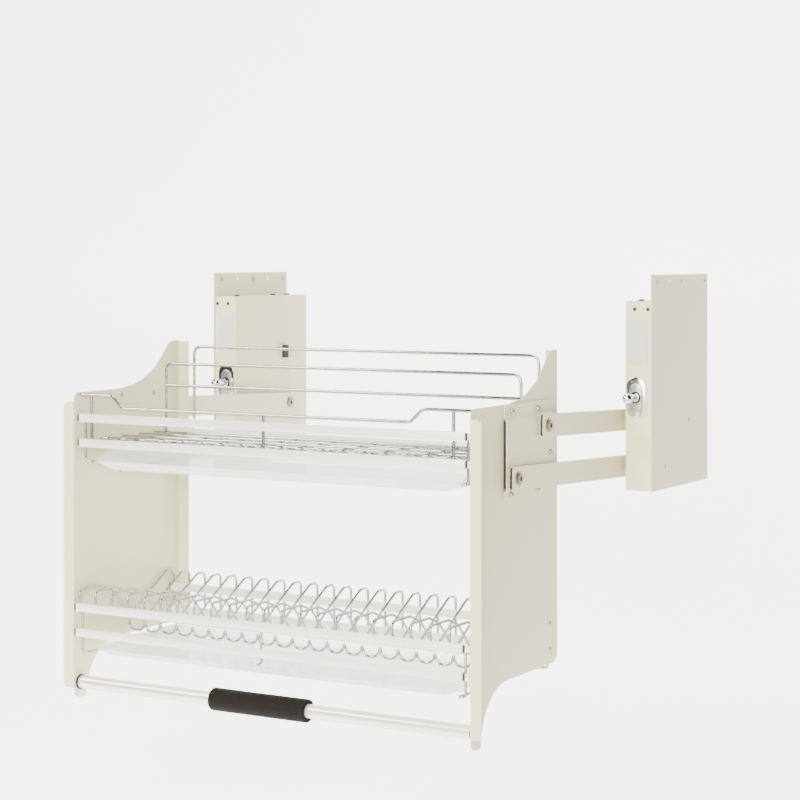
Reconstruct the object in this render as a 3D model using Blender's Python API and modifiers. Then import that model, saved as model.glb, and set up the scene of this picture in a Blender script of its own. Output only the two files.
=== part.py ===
"""Pull-down dish rack, modelled lowered in front of its two wall mechanisms.

Metres, +Z up, +Y to the rear, +X to the right of someone who faces it. The origin is
on the mid-plane, level with the undersides of the two side housings and in the plane of
their front faces.
"""
import math

import bmesh
import bpy
from mathutils import Matrix, Vector

# Clearances and cutting allowances
GAP = 0.0003
BORE_GAP = 0.0003
OVERRUN = 0.002
WELD = 0.00001
MERGE = 0.00005

# Roundness of the parts: steps and resolutions are counts
CORNER_STEPS = 4
BEND_STEPS = 3
TURN_STEPS = 20
SMALL_TURN_STEPS = 12
HOLE_STEPS = 8
HEX_STEPS = 6
WIRE_ROUNDNESS = 1

# Stock
WIRE = 0.004
FRAME_WIRE = 0.005
WIRE_SINK = 0.0008
SHEET = 0.0012
PLATE = 0.002
HOUSING_SHEET = 0.0015

# Side plates of the basket
SHEET_X = 0.3608
SHEET_FRONT = -0.489
SHEET_REAR = -0.203
SHEET_TOP = 0.162
SHEET_PEAK = 0.237
SHEET_BOTTOM = -0.245
SHEET_TIP = -0.329
TIP_LENGTH = 0.033
PEAK_LENGTH = 0.018
FLAT_TOP_LENGTH = 0.118
SHEET_FRONT_RADIUS = 0.015
SHEET_TIP_RADIUS = 0.018
SHEET_REAR_RADIUS = 0.020
SHEET_PEAK_RADIUS = 0.008
SHEET_SWEEP_SHARES = ((0.276, 0.07), (0.433, 0.18), (0.617, 0.37), (0.747, 0.59), (0.873, 0.85),
                      (0.923, 0.95))
FRONT_FLANGE = 0.0196
REAR_FLANGE = 0.0198
FLANGE_RADIUS = 0.008
FOLD_RADIUS = 0.0025
SHEET_OUT = SHEET_X + SHEET
SHEET_MID = SHEET_X + SHEET / 2
INSIDE_X = SHEET_X - GAP

# Flat bars across the basket
BAR_DEPTH = 0.0065
BAR_HEIGHT = 0.013
BAR_END_X = 0.3567
PLUG_DEPTH = 0.0050
PLUG_HEIGHT = 0.0105
BOWL_BAR_FRONT = -0.480
PLATE_BAR_FRONT = -0.488
BOWL_BARS_Z = (0.12125, 0.08125)
PLATE_BARS_Z = (-0.182, -0.222)
BOWL_REAR_BAR = (-0.243, 0.083)
PLATE_REAR_Y = -0.231
PLATE_REAR_BARS_Z = (-0.183, -0.222)

# Wire of the upper shelf
FLOOR_Z = 0.084
FLOOR_LENGTHWISE_Y = (-0.452, -0.407, -0.362, -0.317, -0.275)
FLOOR_CROSS_PITCH = 0.0746
FLOOR_CROSS_COUNT = 9
WAVE_FRONT_Y = -0.463
WAVE_RISE = 0.0052
WAVE_TOP_SHARE = 0.30
FRONT_RAIL_Z = 0.158
FRONT_RAIL_DIP = 0.0197
RAIL_SLOPE_OUT = 0.285
RAIL_SLOPE_IN = 0.265
RAIL_MIDDLE_X = -0.0113
RAIL_POSTS_MIDDLE_X = -0.006
RAIL_POST_PITCH = 0.3315
GUARD_X = 0.335
GUARD_BEND = 0.012
REAR_GUARD_X = 0.3295
REAR_GUARD_Y = -0.203
REAR_GUARD_Z = 0.226
MID_GUARD_Y = -0.275
MID_GUARD_Z = 0.200
MID_GUARD_LOW_Z = 0.1635

# Wire of the lower shelf
DISH_PITCH = 0.03235
DISH_LEFT_REACH = 0.3565
DISH_RIGHT_REACH = 0.325
DISH_TOP_Z = -0.155
DISH_FRONT_FLAT_Y = -0.424
DISH_REAR_FLAT_Y = -0.248
DISH_VALLEY_Y = -0.350
DISH_VALLEY_Z = -0.214
DISH_VALLEY_FLAT = 0.006
DISH_SLOPE_SHARES = ((0.39, 0.19), (0.72, 0.62))
DISH_RISE_SHARES = ((0.30, 0.28), (0.58, 0.59))
DISH_BEND = 0.004
DISH_FRONT_FOOT = -0.187
DISH_REAR_FOOT = -0.226
CRADLE_DEPTH = 0.017
CRADLE_SHARES = ((0.00, 0.00), (0.09, 0.62), (0.27, 0.95), (0.50, 1.00), (0.73, 0.95), (0.91, 0.62))

# Drip trays and their rails
TRAY_WALL = 0.0015
TRAY_TOP_X = 0.335
TRAY_BOTTOM_X = 0.310
TRAY_RADIUS = 0.012
TRAY_FRONT = -0.470
TRAY_REAR = -0.232
TRAY_FRONT_TAPER = 0.006
TRAY_LIP = 0.013
TRAY_RIM = 0.028
LOWER_TRAY_LIP = 0.0085
LOWER_TRAY_RIM = 0.0140
UPPER_TRAY_Z = 0.039
LOWER_TRAY_Z = -0.258
TRAY_LIP_RUN = 0.050
RUNNER_BITE = 0.0002
RUNNER_OVERHANG = 0.003
RUNNER_THICK = 0.0015
RUNNER_END = 0.012
UPPER_RAIL_Z = 0.051
LOWER_RAIL_Z = -0.2535
RAIL_X = 0.338
HANGER_X = 0.3495
REAR_HANGERS_X = {"left": 0.3495, "right": 0.3555}
RAIL_BEND = 0.006
UPPER_RAIL_OVERLAP = 0.003
RAIL_TIP = 0.005
MIDDLE_HANGER_X = -0.004
MIDDLE_HANGER_FOOT = -0.239

# Handle
HANDLE_Y = -0.471
HANDLE_Z = -0.304
HANDLE_RADIUS = 0.0105
HANDLE_WALL = 0.0012
GRIP_RADIUS = 0.0175
GRIP_LEFT = -0.0985
GRIP_RIGHT = 0.0765
GRIP_ROUND = 0.004
CAP_RADIUS = 0.012
CAP_LENGTH = 0.0035
CAP_SOCKET = 0.0025

# Arms and their pivots: (y, z) of each
ARM_X = 0.3690
ARM_THICK = 0.0064
ARM_WIDTH = 0.035
ARM_END = 0.0190
ARM_CORNER = 0.004
UPPER_BOX_PIVOT = (0.155, 0.108)
LOWER_BOX_PIVOT = (0.0546, 0.0364)
ARM_LENGTH = 0.4170
ARM_TILT = math.radians(2.2)
BOLT_RADIUS = 0.005
WASHER_RADIUS = 0.0105
WASHER_THICK = 0.0012
HEAD_RADIUS = 0.008
HEAD_HEIGHT = 0.0026
SOCKET_RADIUS = 0.0040
SOCKET_DEPTH = 0.0018
SPACER_RADIUS = 0.0085
SHAFT_RADIUS = 0.006
SHAFT_HEAD_RADIUS = 0.0095
SHAFT_HEAD = 0.0032
SHAFT_SHOULDER_RADIUS = 0.008
SHAFT_SHOULDER = 0.0065
SHAFT_PIN_RADIUS = 0.004
SHAFT_PIN = 0.0017

# Arm brackets on the side plates
BRACKET_FRONT = -0.386
BRACKET_REAR = -0.227
BRACKET_TOP = 0.162
BRACKET_BOTTOM = 0.019
BRACKET_FOOT = 0.014
BRACKET_RAMP = 0.004
BRACKET_RAISE = 0.0042
BRACKET_RADIUS = 0.018

# Side mechanisms, measured outward from the mid-plane
HOUSING_X = 0.384
WALL_PLATE_X = 0.430
HOUSING_DEPTH = 0.237
HOUSING_HEIGHT = 0.308
HOUSING_RADIUS = 0.003
WALL_PLATE_TOP = 0.351
WALL_PLATE_LIP = 0.002
WALL_HOLES_Z = 0.340
WALL_HOLE_SHARES = (0.088, 0.302, 0.515, 0.728, 0.943)
WALL_HOLE_RADIUS = 0.0032

# Lift spring and its crank
SPRING_X = 0.404
CRANK_LENGTH = 0.026
CRANK_ANGLE = math.radians(-55)
CRANK_WIDTH = 0.022
CRANK_THICK = 0.006
CRANK_X = 0.389
CRANK_PIN_RADIUS = 0.003
CRANK_PIN_END = 0.413
SPRING_WIRE = 0.003
SPRING_RADIUS = 0.0085
SPRING_TURNS = 7
SPRING_TURN_POINTS = 7
SPRING_START = 0.0135
SPRING_COIL = 0.060
SPRING_LEAD = 0.008
HOOK_STEPS = 5
BUFFER_RADIUS = 0.008
BUFFER_ALONG = 0.020

# Spring adjuster
ADJUSTER_Z = 0.152
ADJUSTER_TIP = 0.043
ADJUSTER_KNOB = 0.014
ADJUSTER_KNOB_RADIUS = 0.0085
ADJUSTER_NECK_RADIUS = 0.0060
ADJUSTER_NUT_RADIUS = 0.0072
ADJUSTER_THREAD_RADIUS = 0.0030
ADJUSTER_END = 0.060
ADJUSTER_COLLAR = 0.003
ESCUTCHEON_WIDTH = 0.033
ESCUTCHEON_HEIGHT = 0.066
ESCUTCHEON_THICK = 0.004
CARRIAGE_FRONT = 0.038
CARRIAGE_LENGTH = 0.024
CARRIAGE_WIDTH = 0.020
CARRIAGE_HEIGHT = 0.024
CARRIAGE_PIN_Y = 0.078
CARRIAGE_PIN_RADIUS = 0.0025
LUG_THICK = 0.002
LUG_INSET = 0.004
LUG_HEIGHT = 0.012
LUG_END = 0.004

# Stop pad and its strip on the inner face of a housing
PAD_Y = 0.155
PAD_Z = 0.203
PAD_LENGTH = 0.016
PAD_HEIGHT = 0.024
PAD_CLEARANCE = 0.0005
STRIP_WIDTH = 0.028
STRIP_LENGTH = 0.064
STRIP_START = 0.012
STRIP_THICK = 0.0015
STRIP_ANGLE = math.atan2(-0.652, 0.758)

TURN_TO_YZ = (math.pi / 2, 0, math.pi / 2)
TURN_TO_XZ = (math.pi / 2, 0, 0)
SIDES = (("left", -1), ("right", 1))

LOOKS = {
    "paint": ((0.80, 0.78, 0.72), 0.38, 0.0),
    "steel": ((0.62, 0.62, 0.61), 0.28, 1.0),
    "chrome": ((0.80, 0.80, 0.80), 0.10, 1.0),
    "bar": ((0.84, 0.84, 0.82), 0.22, 0.6),
    "bronze": ((0.45, 0.41, 0.35), 0.35, 1.0),
    "tube": ((0.78, 0.72, 0.63), 0.22, 1.0),
    "foam": ((0.035, 0.028, 0.026), 0.80, 0.0),
    "black": ((0.02, 0.02, 0.02), 0.55, 0.0),
    "tray": ((0.80, 0.82, 0.82), 0.12, 0.0),
    "spring": ((0.35, 0.35, 0.36), 0.35, 1.0),
}

for old in list(bpy.data.objects):
    bpy.data.objects.remove(old)

parts = bpy.data.collections.new("pull_down_dish_rack")
tools = bpy.data.collections.new("cutters")
bpy.context.scene.collection.children.link(parts)
bpy.context.scene.collection.children.link(tools)


def add(name, data, place=(0, 0, 0), turn=(0, 0, 0)):
    """Puts mesh or curve data in the scene as a part."""
    obj = bpy.data.objects.new(name, data)
    obj.location = place
    obj.rotation_euler = turn
    parts.objects.link(obj)
    return obj


def give(obj, look):
    """Gives a part a material of its own."""
    colour, roughness, metallic = LOOKS[look]
    material = bpy.data.materials.new(obj.name + "_" + look)
    material.use_nodes = True
    shader = material.node_tree.nodes["Principled BSDF"]
    shader.inputs["Base Color"].default_value = (*colour, 1)
    shader.inputs["Roughness"].default_value = roughness
    shader.inputs["Metallic"].default_value = metallic
    obj.data.materials.clear()
    obj.data.materials.append(material)
    return obj


def as_mesh(obj):
    """Turns a curve object into a mesh object with welded caps."""
    bpy.context.view_layer.update()
    evaluated = obj.evaluated_get(bpy.context.evaluated_depsgraph_get())
    mesh = bpy.data.meshes.new_from_object(evaluated)
    shape = bmesh.new()
    shape.from_mesh(mesh)
    bmesh.ops.remove_doubles(shape, verts=shape.verts, dist=WELD)
    shape.to_mesh(mesh)
    shape.free()
    name = obj.name
    matrix = obj.matrix_world.copy()
    bpy.data.objects.remove(obj)
    solid = add(name, mesh)
    solid.matrix_world = matrix
    return solid


def slab(name, outline, thickness, place, turn):
    """A flat plate cut to an outline, centred on its place across its thickness."""
    curve = bpy.data.curves.new(name, "CURVE")
    curve.dimensions = "2D"
    curve.fill_mode = "BOTH"
    curve.extrude = thickness / 2
    spline = curve.splines.new("POLY")
    spline.points.add(len(outline) - 1)
    for point, (across, up) in zip(spline.points, outline):
        point.co = (across, up, 0, 1)
    spline.use_cyclic_u = True
    return as_mesh(add(name, curve, place, turn))


def box(name, size, place):
    """A block centred on its place."""
    shape = bmesh.new()
    bmesh.ops.create_cube(shape, size=1, matrix=Matrix.Diagonal((*size, 1)))
    mesh = bpy.data.meshes.new(name)
    shape.to_mesh(mesh)
    shape.free()
    return add(name, mesh, place)


def rod(name, radius, length, place, turn, steps=SMALL_TURN_STEPS):
    """A cylinder centred on its place, along its own Z."""
    shape = bmesh.new()
    bmesh.ops.create_cone(shape, cap_ends=True, segments=steps, radius1=radius, radius2=radius, depth=length)
    mesh = bpy.data.meshes.new(name)
    shape.to_mesh(mesh)
    shape.free()
    return add(name, mesh, place, turn)


def turned(name, profile, place, turn, steps=TURN_STEPS, ring=False):
    """A turned piece from (radius, height) points that run down its outer side."""
    mesh = bpy.data.meshes.new(name)
    edges = [(i, i + 1) for i in range(len(profile) - 1)]
    if ring:
        edges.append((len(profile) - 1, 0))
    mesh.from_pydata([(radius, 0, height) for radius, height in profile], edges, [])
    obj = add(name, mesh, place, turn)
    screw = obj.modifiers.new("turn", "SCREW")
    screw.axis = "Z"
    screw.steps = steps
    screw.render_steps = steps
    screw.use_merge_vertices = True
    screw.merge_threshold = MERGE
    return obj


def wire(name, points, width=WIRE, resolution=WIRE_ROUNDNESS):
    """A round wire along points."""
    curve = bpy.data.curves.new(name, "CURVE")
    curve.dimensions = "3D"
    curve.bevel_depth = width / 2
    curve.bevel_resolution = resolution
    curve.use_fill_caps = True
    spline = curve.splines.new("POLY")
    spline.points.add(len(points) - 1)
    for point, place in zip(spline.points, points):
        point.co = (*place, 1)
    return add(name, curve)


def bent(points, radius, steps=BEND_STEPS):
    """Rounds the inner corners of a path by a bend radius."""
    path = [Vector(point) for point in points]
    result = [path[0]]
    for before, corner, after in zip(path, path[1:], path[2:]):
        back = before - corner
        ahead = after - corner
        half_turn = (math.pi - back.angle(ahead)) / 2
        reach = min(radius * math.tan(half_turn), back.length / 2, ahead.length / 2)
        start = corner + back.normalized() * reach
        end = corner + ahead.normalized() * reach
        for step in range(steps + 1):
            share = step / steps
            result.append(start.lerp(corner, share).lerp(corner.lerp(end, share), share))
    result.append(path[-1])
    return result


def rounded(corners, steps=CORNER_STEPS):
    """A closed outline from (across, up, radius) corners."""
    outline = []
    for index, (across, up, radius) in enumerate(corners):
        corner = Vector((across, up))
        if radius == 0:
            outline.append(tuple(corner))
            continue
        before = Vector(corners[index - 1][:2]) - corner
        after = Vector(corners[(index + 1) % len(corners)][:2]) - corner
        half_turn = (math.pi - before.angle(after)) / 2
        reach = radius * math.tan(half_turn)
        start = corner + before.normalized() * reach
        end = corner + after.normalized() * reach
        inward = (before.normalized() + after.normalized()).normalized()
        centre = corner + inward * radius / math.cos(half_turn)
        first = math.atan2(*(start - centre).yx)
        last = math.atan2(*(end - centre).yx)
        sweep = (last - first + math.pi) % (2 * math.pi) - math.pi
        for step in range(steps + 1):
            angle = first + sweep * step / steps
            outline.append((centre.x + radius * math.cos(angle), centre.y + radius * math.sin(angle)))
    return outline


def rectangle(left, right, low, high, radius=0):
    """Rounded corners of an upright rectangle."""
    return rounded([(left, low, radius), (right, low, radius), (right, high, radius), (left, high, radius)])


def tool(obj):
    """Makes an object a hidden cutter."""
    parts.objects.unlink(obj)
    tools.objects.link(obj)
    obj.hide_render = True
    obj.display_type = "WIRE"
    return obj


def combine(obj, other, operation):
    """Cuts, joins or trims a part with another object."""
    modifier = obj.modifiers.new(operation.lower(), "BOOLEAN")
    modifier.operation = operation
    modifier.solver = "EXACT"
    modifier.object = tool(other)
    return obj


def cut(obj, other):
    return combine(obj, other, "DIFFERENCE")


def join(obj, other):
    return combine(obj, other, "UNION")


def trim(obj, other):
    return combine(obj, other, "INTERSECT")


def weld_all(obj, others):
    """Joins many crossing wires to a part in one union."""
    group = bpy.data.collections.new(obj.name + "_wires")
    tools.children.link(group)
    for other in others:
        parts.objects.unlink(other)
        group.objects.link(other)
        other.hide_render = True
        other.display_type = "WIRE"
    modifier = obj.modifiers.new("weld", "BOOLEAN")
    modifier.operation = "UNION"
    modifier.solver = "EXACT"
    modifier.operand_type = "COLLECTION"
    modifier.collection = group
    return obj


def hang(obj, carrier):
    """Parents a part to an unturned carrier without moving it."""
    obj.parent = carrier
    obj.location = Vector(obj.location) - carrier.location
    return obj


def pivot(name, place):
    """An empty on a joint's axis."""
    empty = bpy.data.objects.new(name, None)
    empty.location = place
    parts.objects.link(empty)
    return empty


def along_x(side):
    """Turns a local Z to point away from the mid-plane."""
    return (0, side * math.pi / 2, 0)


def basket_pivot_of(box_pivot):
    """The basket end of an arm that leans forward by the resting tilt."""
    y, z = box_pivot
    return (y - ARM_LENGTH * math.cos(ARM_TILT), z + ARM_LENGTH * math.sin(ARM_TILT))


def folded(name, path, sweep, thickness):
    """Bent sheet: a path swept sideways, thickened about its middle."""
    shape = bmesh.new()
    corners = [shape.verts.new(point) for point in path]
    edges = [shape.edges.new(pair) for pair in zip(corners, corners[1:])]
    swept = bmesh.ops.extrude_edge_only(shape, edges=edges)["geom"]
    moved = [item for item in swept if isinstance(item, bmesh.types.BMVert)]
    bmesh.ops.translate(shape, verts=moved, vec=sweep)
    mesh = bpy.data.meshes.new(name)
    shape.to_mesh(mesh)
    shape.free()
    obj = add(name, mesh)
    skin = obj.modifiers.new("thickness", "SOLIDIFY")
    skin.thickness = thickness
    skin.offset = 0
    skin.use_even_offset = True
    return obj


def capsule(start, end, radius, steps=2 * CORNER_STEPS):
    """The outline of a bar with round ends, from one end's centre to the other's."""
    start = Vector(start)
    end = Vector(end)
    heading = math.atan2(*(end - start).yx)
    outline = []
    for centre, first in ((end, heading - math.pi / 2), (start, heading + math.pi / 2)):
        for step in range(steps + 1):
            angle = first + math.pi * step / steps
            outline.append((centre.x + radius * math.cos(angle), centre.y + radius * math.sin(angle)))
    return outline


def tilted(outline, angle):
    """An outline turned about its origin."""
    turn = Matrix.Rotation(angle, 2)
    return [tuple(turn @ Vector(point)) for point in outline]


def sheet_outline():
    """Side view of a basket side plate: flat top, swept peak, scooped lower front."""
    front = SHEET_FRONT - OVERRUN
    rear = SHEET_REAR + OVERRUN
    flat_end = SHEET_FRONT + FLAT_TOP_LENGTH
    peak_foot = SHEET_REAR - PEAK_LENGTH
    run = peak_foot - flat_end
    rise = SHEET_PEAK - SHEET_TOP
    scoop = SHEET_BOTTOM - SHEET_TIP
    scoop_y = SHEET_FRONT + TIP_LENGTH + scoop
    corners = [(front, SHEET_TOP, SHEET_FRONT_RADIUS), (flat_end, SHEET_TOP, 0)]
    corners += [(flat_end + run * y, SHEET_TOP + rise * z, 0) for y, z in SHEET_SWEEP_SHARES]
    corners += [(peak_foot, SHEET_PEAK, 0), (rear, SHEET_PEAK, SHEET_PEAK_RADIUS)]
    corners += [(rear, SHEET_BOTTOM, SHEET_REAR_RADIUS)]
    for step in range(2 * CORNER_STEPS + 1):
        angle = math.pi / 2 + math.pi / 2 * step / (2 * CORNER_STEPS)
        corners.append((scoop_y + scoop * math.cos(angle), SHEET_TIP + scoop * math.sin(angle), 0))
    corners.append((front, SHEET_TIP, SHEET_TIP_RADIUS))
    return rounded(corners)


def side_plate(name, side):
    """Bent steel side of the basket, front edge folded out and rear edge folded in."""
    low = SHEET_TIP - OVERRUN
    high = SHEET_PEAK + OVERRUN
    out = SHEET_X + FRONT_FLANGE
    inner = SHEET_X - REAR_FLANGE
    front_y = SHEET_FRONT + SHEET / 2
    rear_y = SHEET_REAR - SHEET / 2
    path = [(side * (out + OVERRUN), front_y, low), (side * SHEET_MID, front_y, low),
            (side * SHEET_MID, rear_y, low), (side * inner, rear_y, low)]
    obj = folded(name, bent(path, FOLD_RADIUS), (0, 0, high - low), SHEET)
    span = FRONT_FLANGE + REAR_FLANGE + 2 * 2 * OVERRUN
    centre = side * (out + inner) / 2
    trim(obj, slab(name + "_side", sheet_outline(), span, (centre, 0, 0), TURN_TO_YZ))
    step_x = SHEET_OUT + OVERRUN
    flange_low = SHEET_TIP + SHEET_TIP_RADIUS
    flange_high = SHEET_TOP - SHEET_FRONT_RADIUS
    edge = inner - OVERRUN
    corners = [(edge, low - OVERRUN, 0), (step_x, low - OVERRUN, 0), (step_x, flange_low, 0),
               (out, flange_low, FLANGE_RADIUS), (out, flange_high, FLANGE_RADIUS),
               (step_x, flange_high, 0), (step_x, high + OVERRUN, 0), (edge, high + OVERRUN, 0)]
    outline = [(side * across, up) for across, up in rounded(corners)]
    depth = SHEET_REAR - SHEET_FRONT
    middle = (SHEET_REAR + SHEET_FRONT) / 2
    trim(obj, slab(name + "_front", outline, depth + 2 * OVERRUN, (0, middle, 0), TURN_TO_XZ))
    return give(obj, "paint")


def arm_bracket(name, side):
    """Joggled plate on the outer face of a side plate, that carries both arm bolts."""
    foot_x = SHEET_OUT + GAP + PLATE / 2
    raised_x = foot_x + BRACKET_RAISE
    upper = BRACKET_TOP - BRACKET_FOOT
    lower = BRACKET_BOTTOM + BRACKET_FOOT
    start = BRACKET_FRONT - OVERRUN
    heights = [(foot_x, BRACKET_TOP + OVERRUN), (foot_x, upper), (raised_x, upper - BRACKET_RAMP),
               (raised_x, lower + BRACKET_RAMP), (foot_x, lower), (foot_x, BRACKET_BOTTOM - OVERRUN)]
    path = [(side * x, start, z) for x, z in heights]
    length = BRACKET_REAR - BRACKET_FRONT
    obj = folded(name, path, (0, length + 2 * OVERRUN, 0), PLATE)
    outline = rounded([(BRACKET_FRONT, BRACKET_BOTTOM, BRACKET_RADIUS),
                       (BRACKET_REAR, BRACKET_BOTTOM, BRACKET_RADIUS / 2),
                       (BRACKET_REAR, BRACKET_TOP, BRACKET_RADIUS / 3),
                       (BRACKET_FRONT, BRACKET_TOP, BRACKET_RADIUS / 3)])
    width = BRACKET_RAISE + PLATE + 2 * OVERRUN
    centre = side * (foot_x + BRACKET_RAISE / 2)
    trim(obj, slab(name + "_outline", outline, width, (centre, 0, 0), TURN_TO_YZ))
    for label, box_pivot in (("upper", UPPER_BOX_PIVOT), ("lower", LOWER_BOX_PIVOT)):
        place = (centre, *basket_pivot_of(box_pivot))
        cut(obj, rod(name + "_hole_" + label, BOLT_RADIUS + BORE_GAP, 2 * width, place, along_x(side)))
    return give(obj, "paint")


def hex_socket(obj, side, x, y, z):
    """Cuts a hex socket into the face of a bolt head that lies across X."""
    place = (side * x, y, z)
    cut(obj, rod(obj.name + "_socket", SOCKET_RADIUS, 2 * SOCKET_DEPTH, place, along_x(side), HEX_STEPS))


def pivot_bolt(name, side, place):
    """Shoulder bolt with a washer outside the arm and a spacer behind the bracket."""
    arm_out = ARM_X + ARM_THICK + GAP
    washer_out = arm_out + WASHER_THICK
    head_out = washer_out + HEAD_HEIGHT
    spacer_out = SHEET_OUT + GAP + BRACKET_RAISE - GAP
    profile = [(0, head_out), (HEAD_RADIUS, head_out), (HEAD_RADIUS, washer_out), (WASHER_RADIUS, washer_out),
               (WASHER_RADIUS, arm_out), (BOLT_RADIUS, arm_out), (BOLT_RADIUS, spacer_out),
               (SPACER_RADIUS, spacer_out), (SPACER_RADIUS, SHEET_OUT + GAP), (0, SHEET_OUT + GAP)]
    obj = turned(name, profile, (0, *place), along_x(side), SMALL_TURN_STEPS)
    hex_socket(obj, side, head_out, *place)
    return give(obj, "bronze")


def arm(name, side, box_pivot):
    """Flat steel arm with a bolt hole at each end, its origin on the housing's pivot."""
    outline = rectangle(-ARM_LENGTH - ARM_END, ARM_END, -ARM_WIDTH / 2, ARM_WIDTH / 2, ARM_CORNER)
    centre = side * (ARM_X + ARM_THICK / 2)
    obj = slab(name, tilted(outline, -ARM_TILT), ARM_THICK, (centre, *box_pivot), TURN_TO_YZ)
    for label, place in (("box", box_pivot), ("basket", basket_pivot_of(box_pivot))):
        hole = rod(name + "_hole_" + label, BOLT_RADIUS + BORE_GAP, 2 * ARM_THICK, (centre, *place),
                   along_x(side))
        cut(obj, hole)
    return give(obj, "paint")


def shaft(name, side, place):
    """Arm shaft from its head inside the arm to its end in the wall plate."""
    arm_out = ARM_X + ARM_THICK + GAP
    head_out = ARM_X - GAP
    shoulder_out = arm_out + SHAFT_SHOULDER
    end = WALL_PLATE_X - GAP
    tip = WALL_PLATE_X + SHAFT_PIN
    profile = [(0, tip), (SHAFT_PIN_RADIUS, tip), (SHAFT_PIN_RADIUS, end), (SHAFT_RADIUS, end),
               (SHAFT_RADIUS, shoulder_out), (SHAFT_SHOULDER_RADIUS, shoulder_out),
               (SHAFT_SHOULDER_RADIUS, arm_out), (BOLT_RADIUS, arm_out), (BOLT_RADIUS, head_out),
               (SHAFT_HEAD_RADIUS, head_out), (SHAFT_HEAD_RADIUS, head_out - SHAFT_HEAD),
               (0, head_out - SHAFT_HEAD)]
    obj = turned(name, profile, (0, *place), along_x(side), SMALL_TURN_STEPS)
    hex_socket(obj, side, head_out - SHAFT_HEAD, *place)
    return give(obj, "bronze")


def crank_pin_place():
    y, z = UPPER_BOX_PIVOT
    return (y + CRANK_LENGTH * math.cos(CRANK_ANGLE), z + CRANK_LENGTH * math.sin(CRANK_ANGLE))


def crank_shaft(name, side):
    """Upper arm shaft with the lever that stretches the lift spring."""
    obj = shaft(name, side, UPPER_BOX_PIVOT)
    pin = crank_pin_place()
    middle = CRANK_X + CRANK_THICK / 2
    lever = capsule(UPPER_BOX_PIVOT, pin, CRANK_WIDTH / 2)
    join(obj, slab(name + "_lever", lever, CRANK_THICK, (side * middle, 0, 0), TURN_TO_YZ))
    length = CRANK_PIN_END - middle
    place = (side * (middle + length / 2), *pin)
    join(obj, rod(name + "_pin", CRANK_PIN_RADIUS, length, place, along_x(side)))
    return obj


def rest_buffer(name, side):
    """Rubber post on the wall plate that the crank lever rests against when lowered."""
    across = CRANK_WIDTH / 2 + BUFFER_RADIUS + GAP
    y, z = UPPER_BOX_PIVOT
    place_y = y + BUFFER_ALONG * math.cos(CRANK_ANGLE) - across * math.sin(CRANK_ANGLE)
    place_z = z + BUFFER_ALONG * math.sin(CRANK_ANGLE) + across * math.cos(CRANK_ANGLE)
    end = WALL_PLATE_X - GAP
    place = (side * (CRANK_X + end) / 2, place_y, place_z)
    return give(rod(name, BUFFER_RADIUS, end - CRANK_X, place, along_x(side)), "black")


def wall_plate(name, side):
    """Flat steel plate with a row of screw holes, that backs the housing."""
    outline = rectangle(-WALL_PLATE_LIP, HOUSING_DEPTH, 0, WALL_PLATE_TOP, HOUSING_RADIUS)
    centre = side * (WALL_PLATE_X + PLATE / 2)
    obj = slab(name, outline, PLATE, (centre, 0, 0), TURN_TO_YZ)
    for number, share in enumerate(WALL_HOLE_SHARES):
        place = (centre, share * HOUSING_DEPTH, WALL_HOLES_Z)
        cut(obj, rod(f"{name}_hole_{number}", WALL_HOLE_RADIUS, 2 * PLATE, place, along_x(side), HOLE_STEPS))
    for label, pivot_place in (("upper", UPPER_BOX_PIVOT), ("lower", LOWER_BOX_PIVOT)):
        hole = rod(f"{name}_{label}_bearing", SHAFT_PIN_RADIUS + BORE_GAP, 2 * PLATE,
                   (centre, *pivot_place), along_x(side))
        cut(obj, hole)
    return give(obj, "paint")


def housing(name, side):
    """Pressed cover over the spring mechanism, open towards the wall plate."""
    end = WALL_PLATE_X - GAP
    size = (end - HOUSING_X, HOUSING_DEPTH, HOUSING_HEIGHT)
    place = (side * (end + HOUSING_X) / 2, HOUSING_DEPTH / 2, HOUSING_HEIGHT / 2)
    obj = box(name, size, place)
    shape = bmesh.new()
    shape.from_mesh(obj.data)
    shape.normal_update()
    open_face = [face for face in shape.faces if face.normal.x * side > math.cos(math.pi / 4)]
    bmesh.ops.delete(shape, geom=open_face, context="FACES_ONLY")
    shape.to_mesh(obj.data)
    shape.free()
    bevel = obj.modifiers.new("edges", "BEVEL")
    bevel.width = HOUSING_RADIUS
    bevel.segments = 2
    skin = obj.modifiers.new("thickness", "SOLIDIFY")
    skin.thickness = HOUSING_SHEET
    skin.offset = -1
    skin.use_even_offset = True
    for label, pivot_place in (("upper", UPPER_BOX_PIVOT), ("lower", LOWER_BOX_PIVOT)):
        hole = rod(f"{name}_{label}_hole", SHAFT_RADIUS + BORE_GAP, 2 * 2 * HOUSING_SHEET,
                   (side * HOUSING_X, *pivot_place), along_x(side))
        cut(obj, hole)
    hole = rod(name + "_adjuster_hole", ADJUSTER_THREAD_RADIUS + BORE_GAP, 2 * 2 * HOUSING_SHEET,
               (side * SPRING_X, 0, ADJUSTER_Z), TURN_TO_XZ)
    cut(obj, hole)
    return give(obj, "paint")


def adjuster_plate(name, side):
    """Raised escutcheon with round ends around the adjuster nut."""
    straight = (ESCUTCHEON_HEIGHT - ESCUTCHEON_WIDTH) / 2
    outline = capsule((0, -straight), (0, straight), ESCUTCHEON_WIDTH / 2)
    place = (side * SPRING_X, -GAP - ESCUTCHEON_THICK / 2, ADJUSTER_Z)
    obj = slab(name, outline, ESCUTCHEON_THICK, place, TURN_TO_XZ)
    cut(obj, rod(name + "_opening", ADJUSTER_NUT_RADIUS + BORE_GAP, 2 * ESCUTCHEON_THICK, place, TURN_TO_XZ))
    return give(obj, "chrome")


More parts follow.
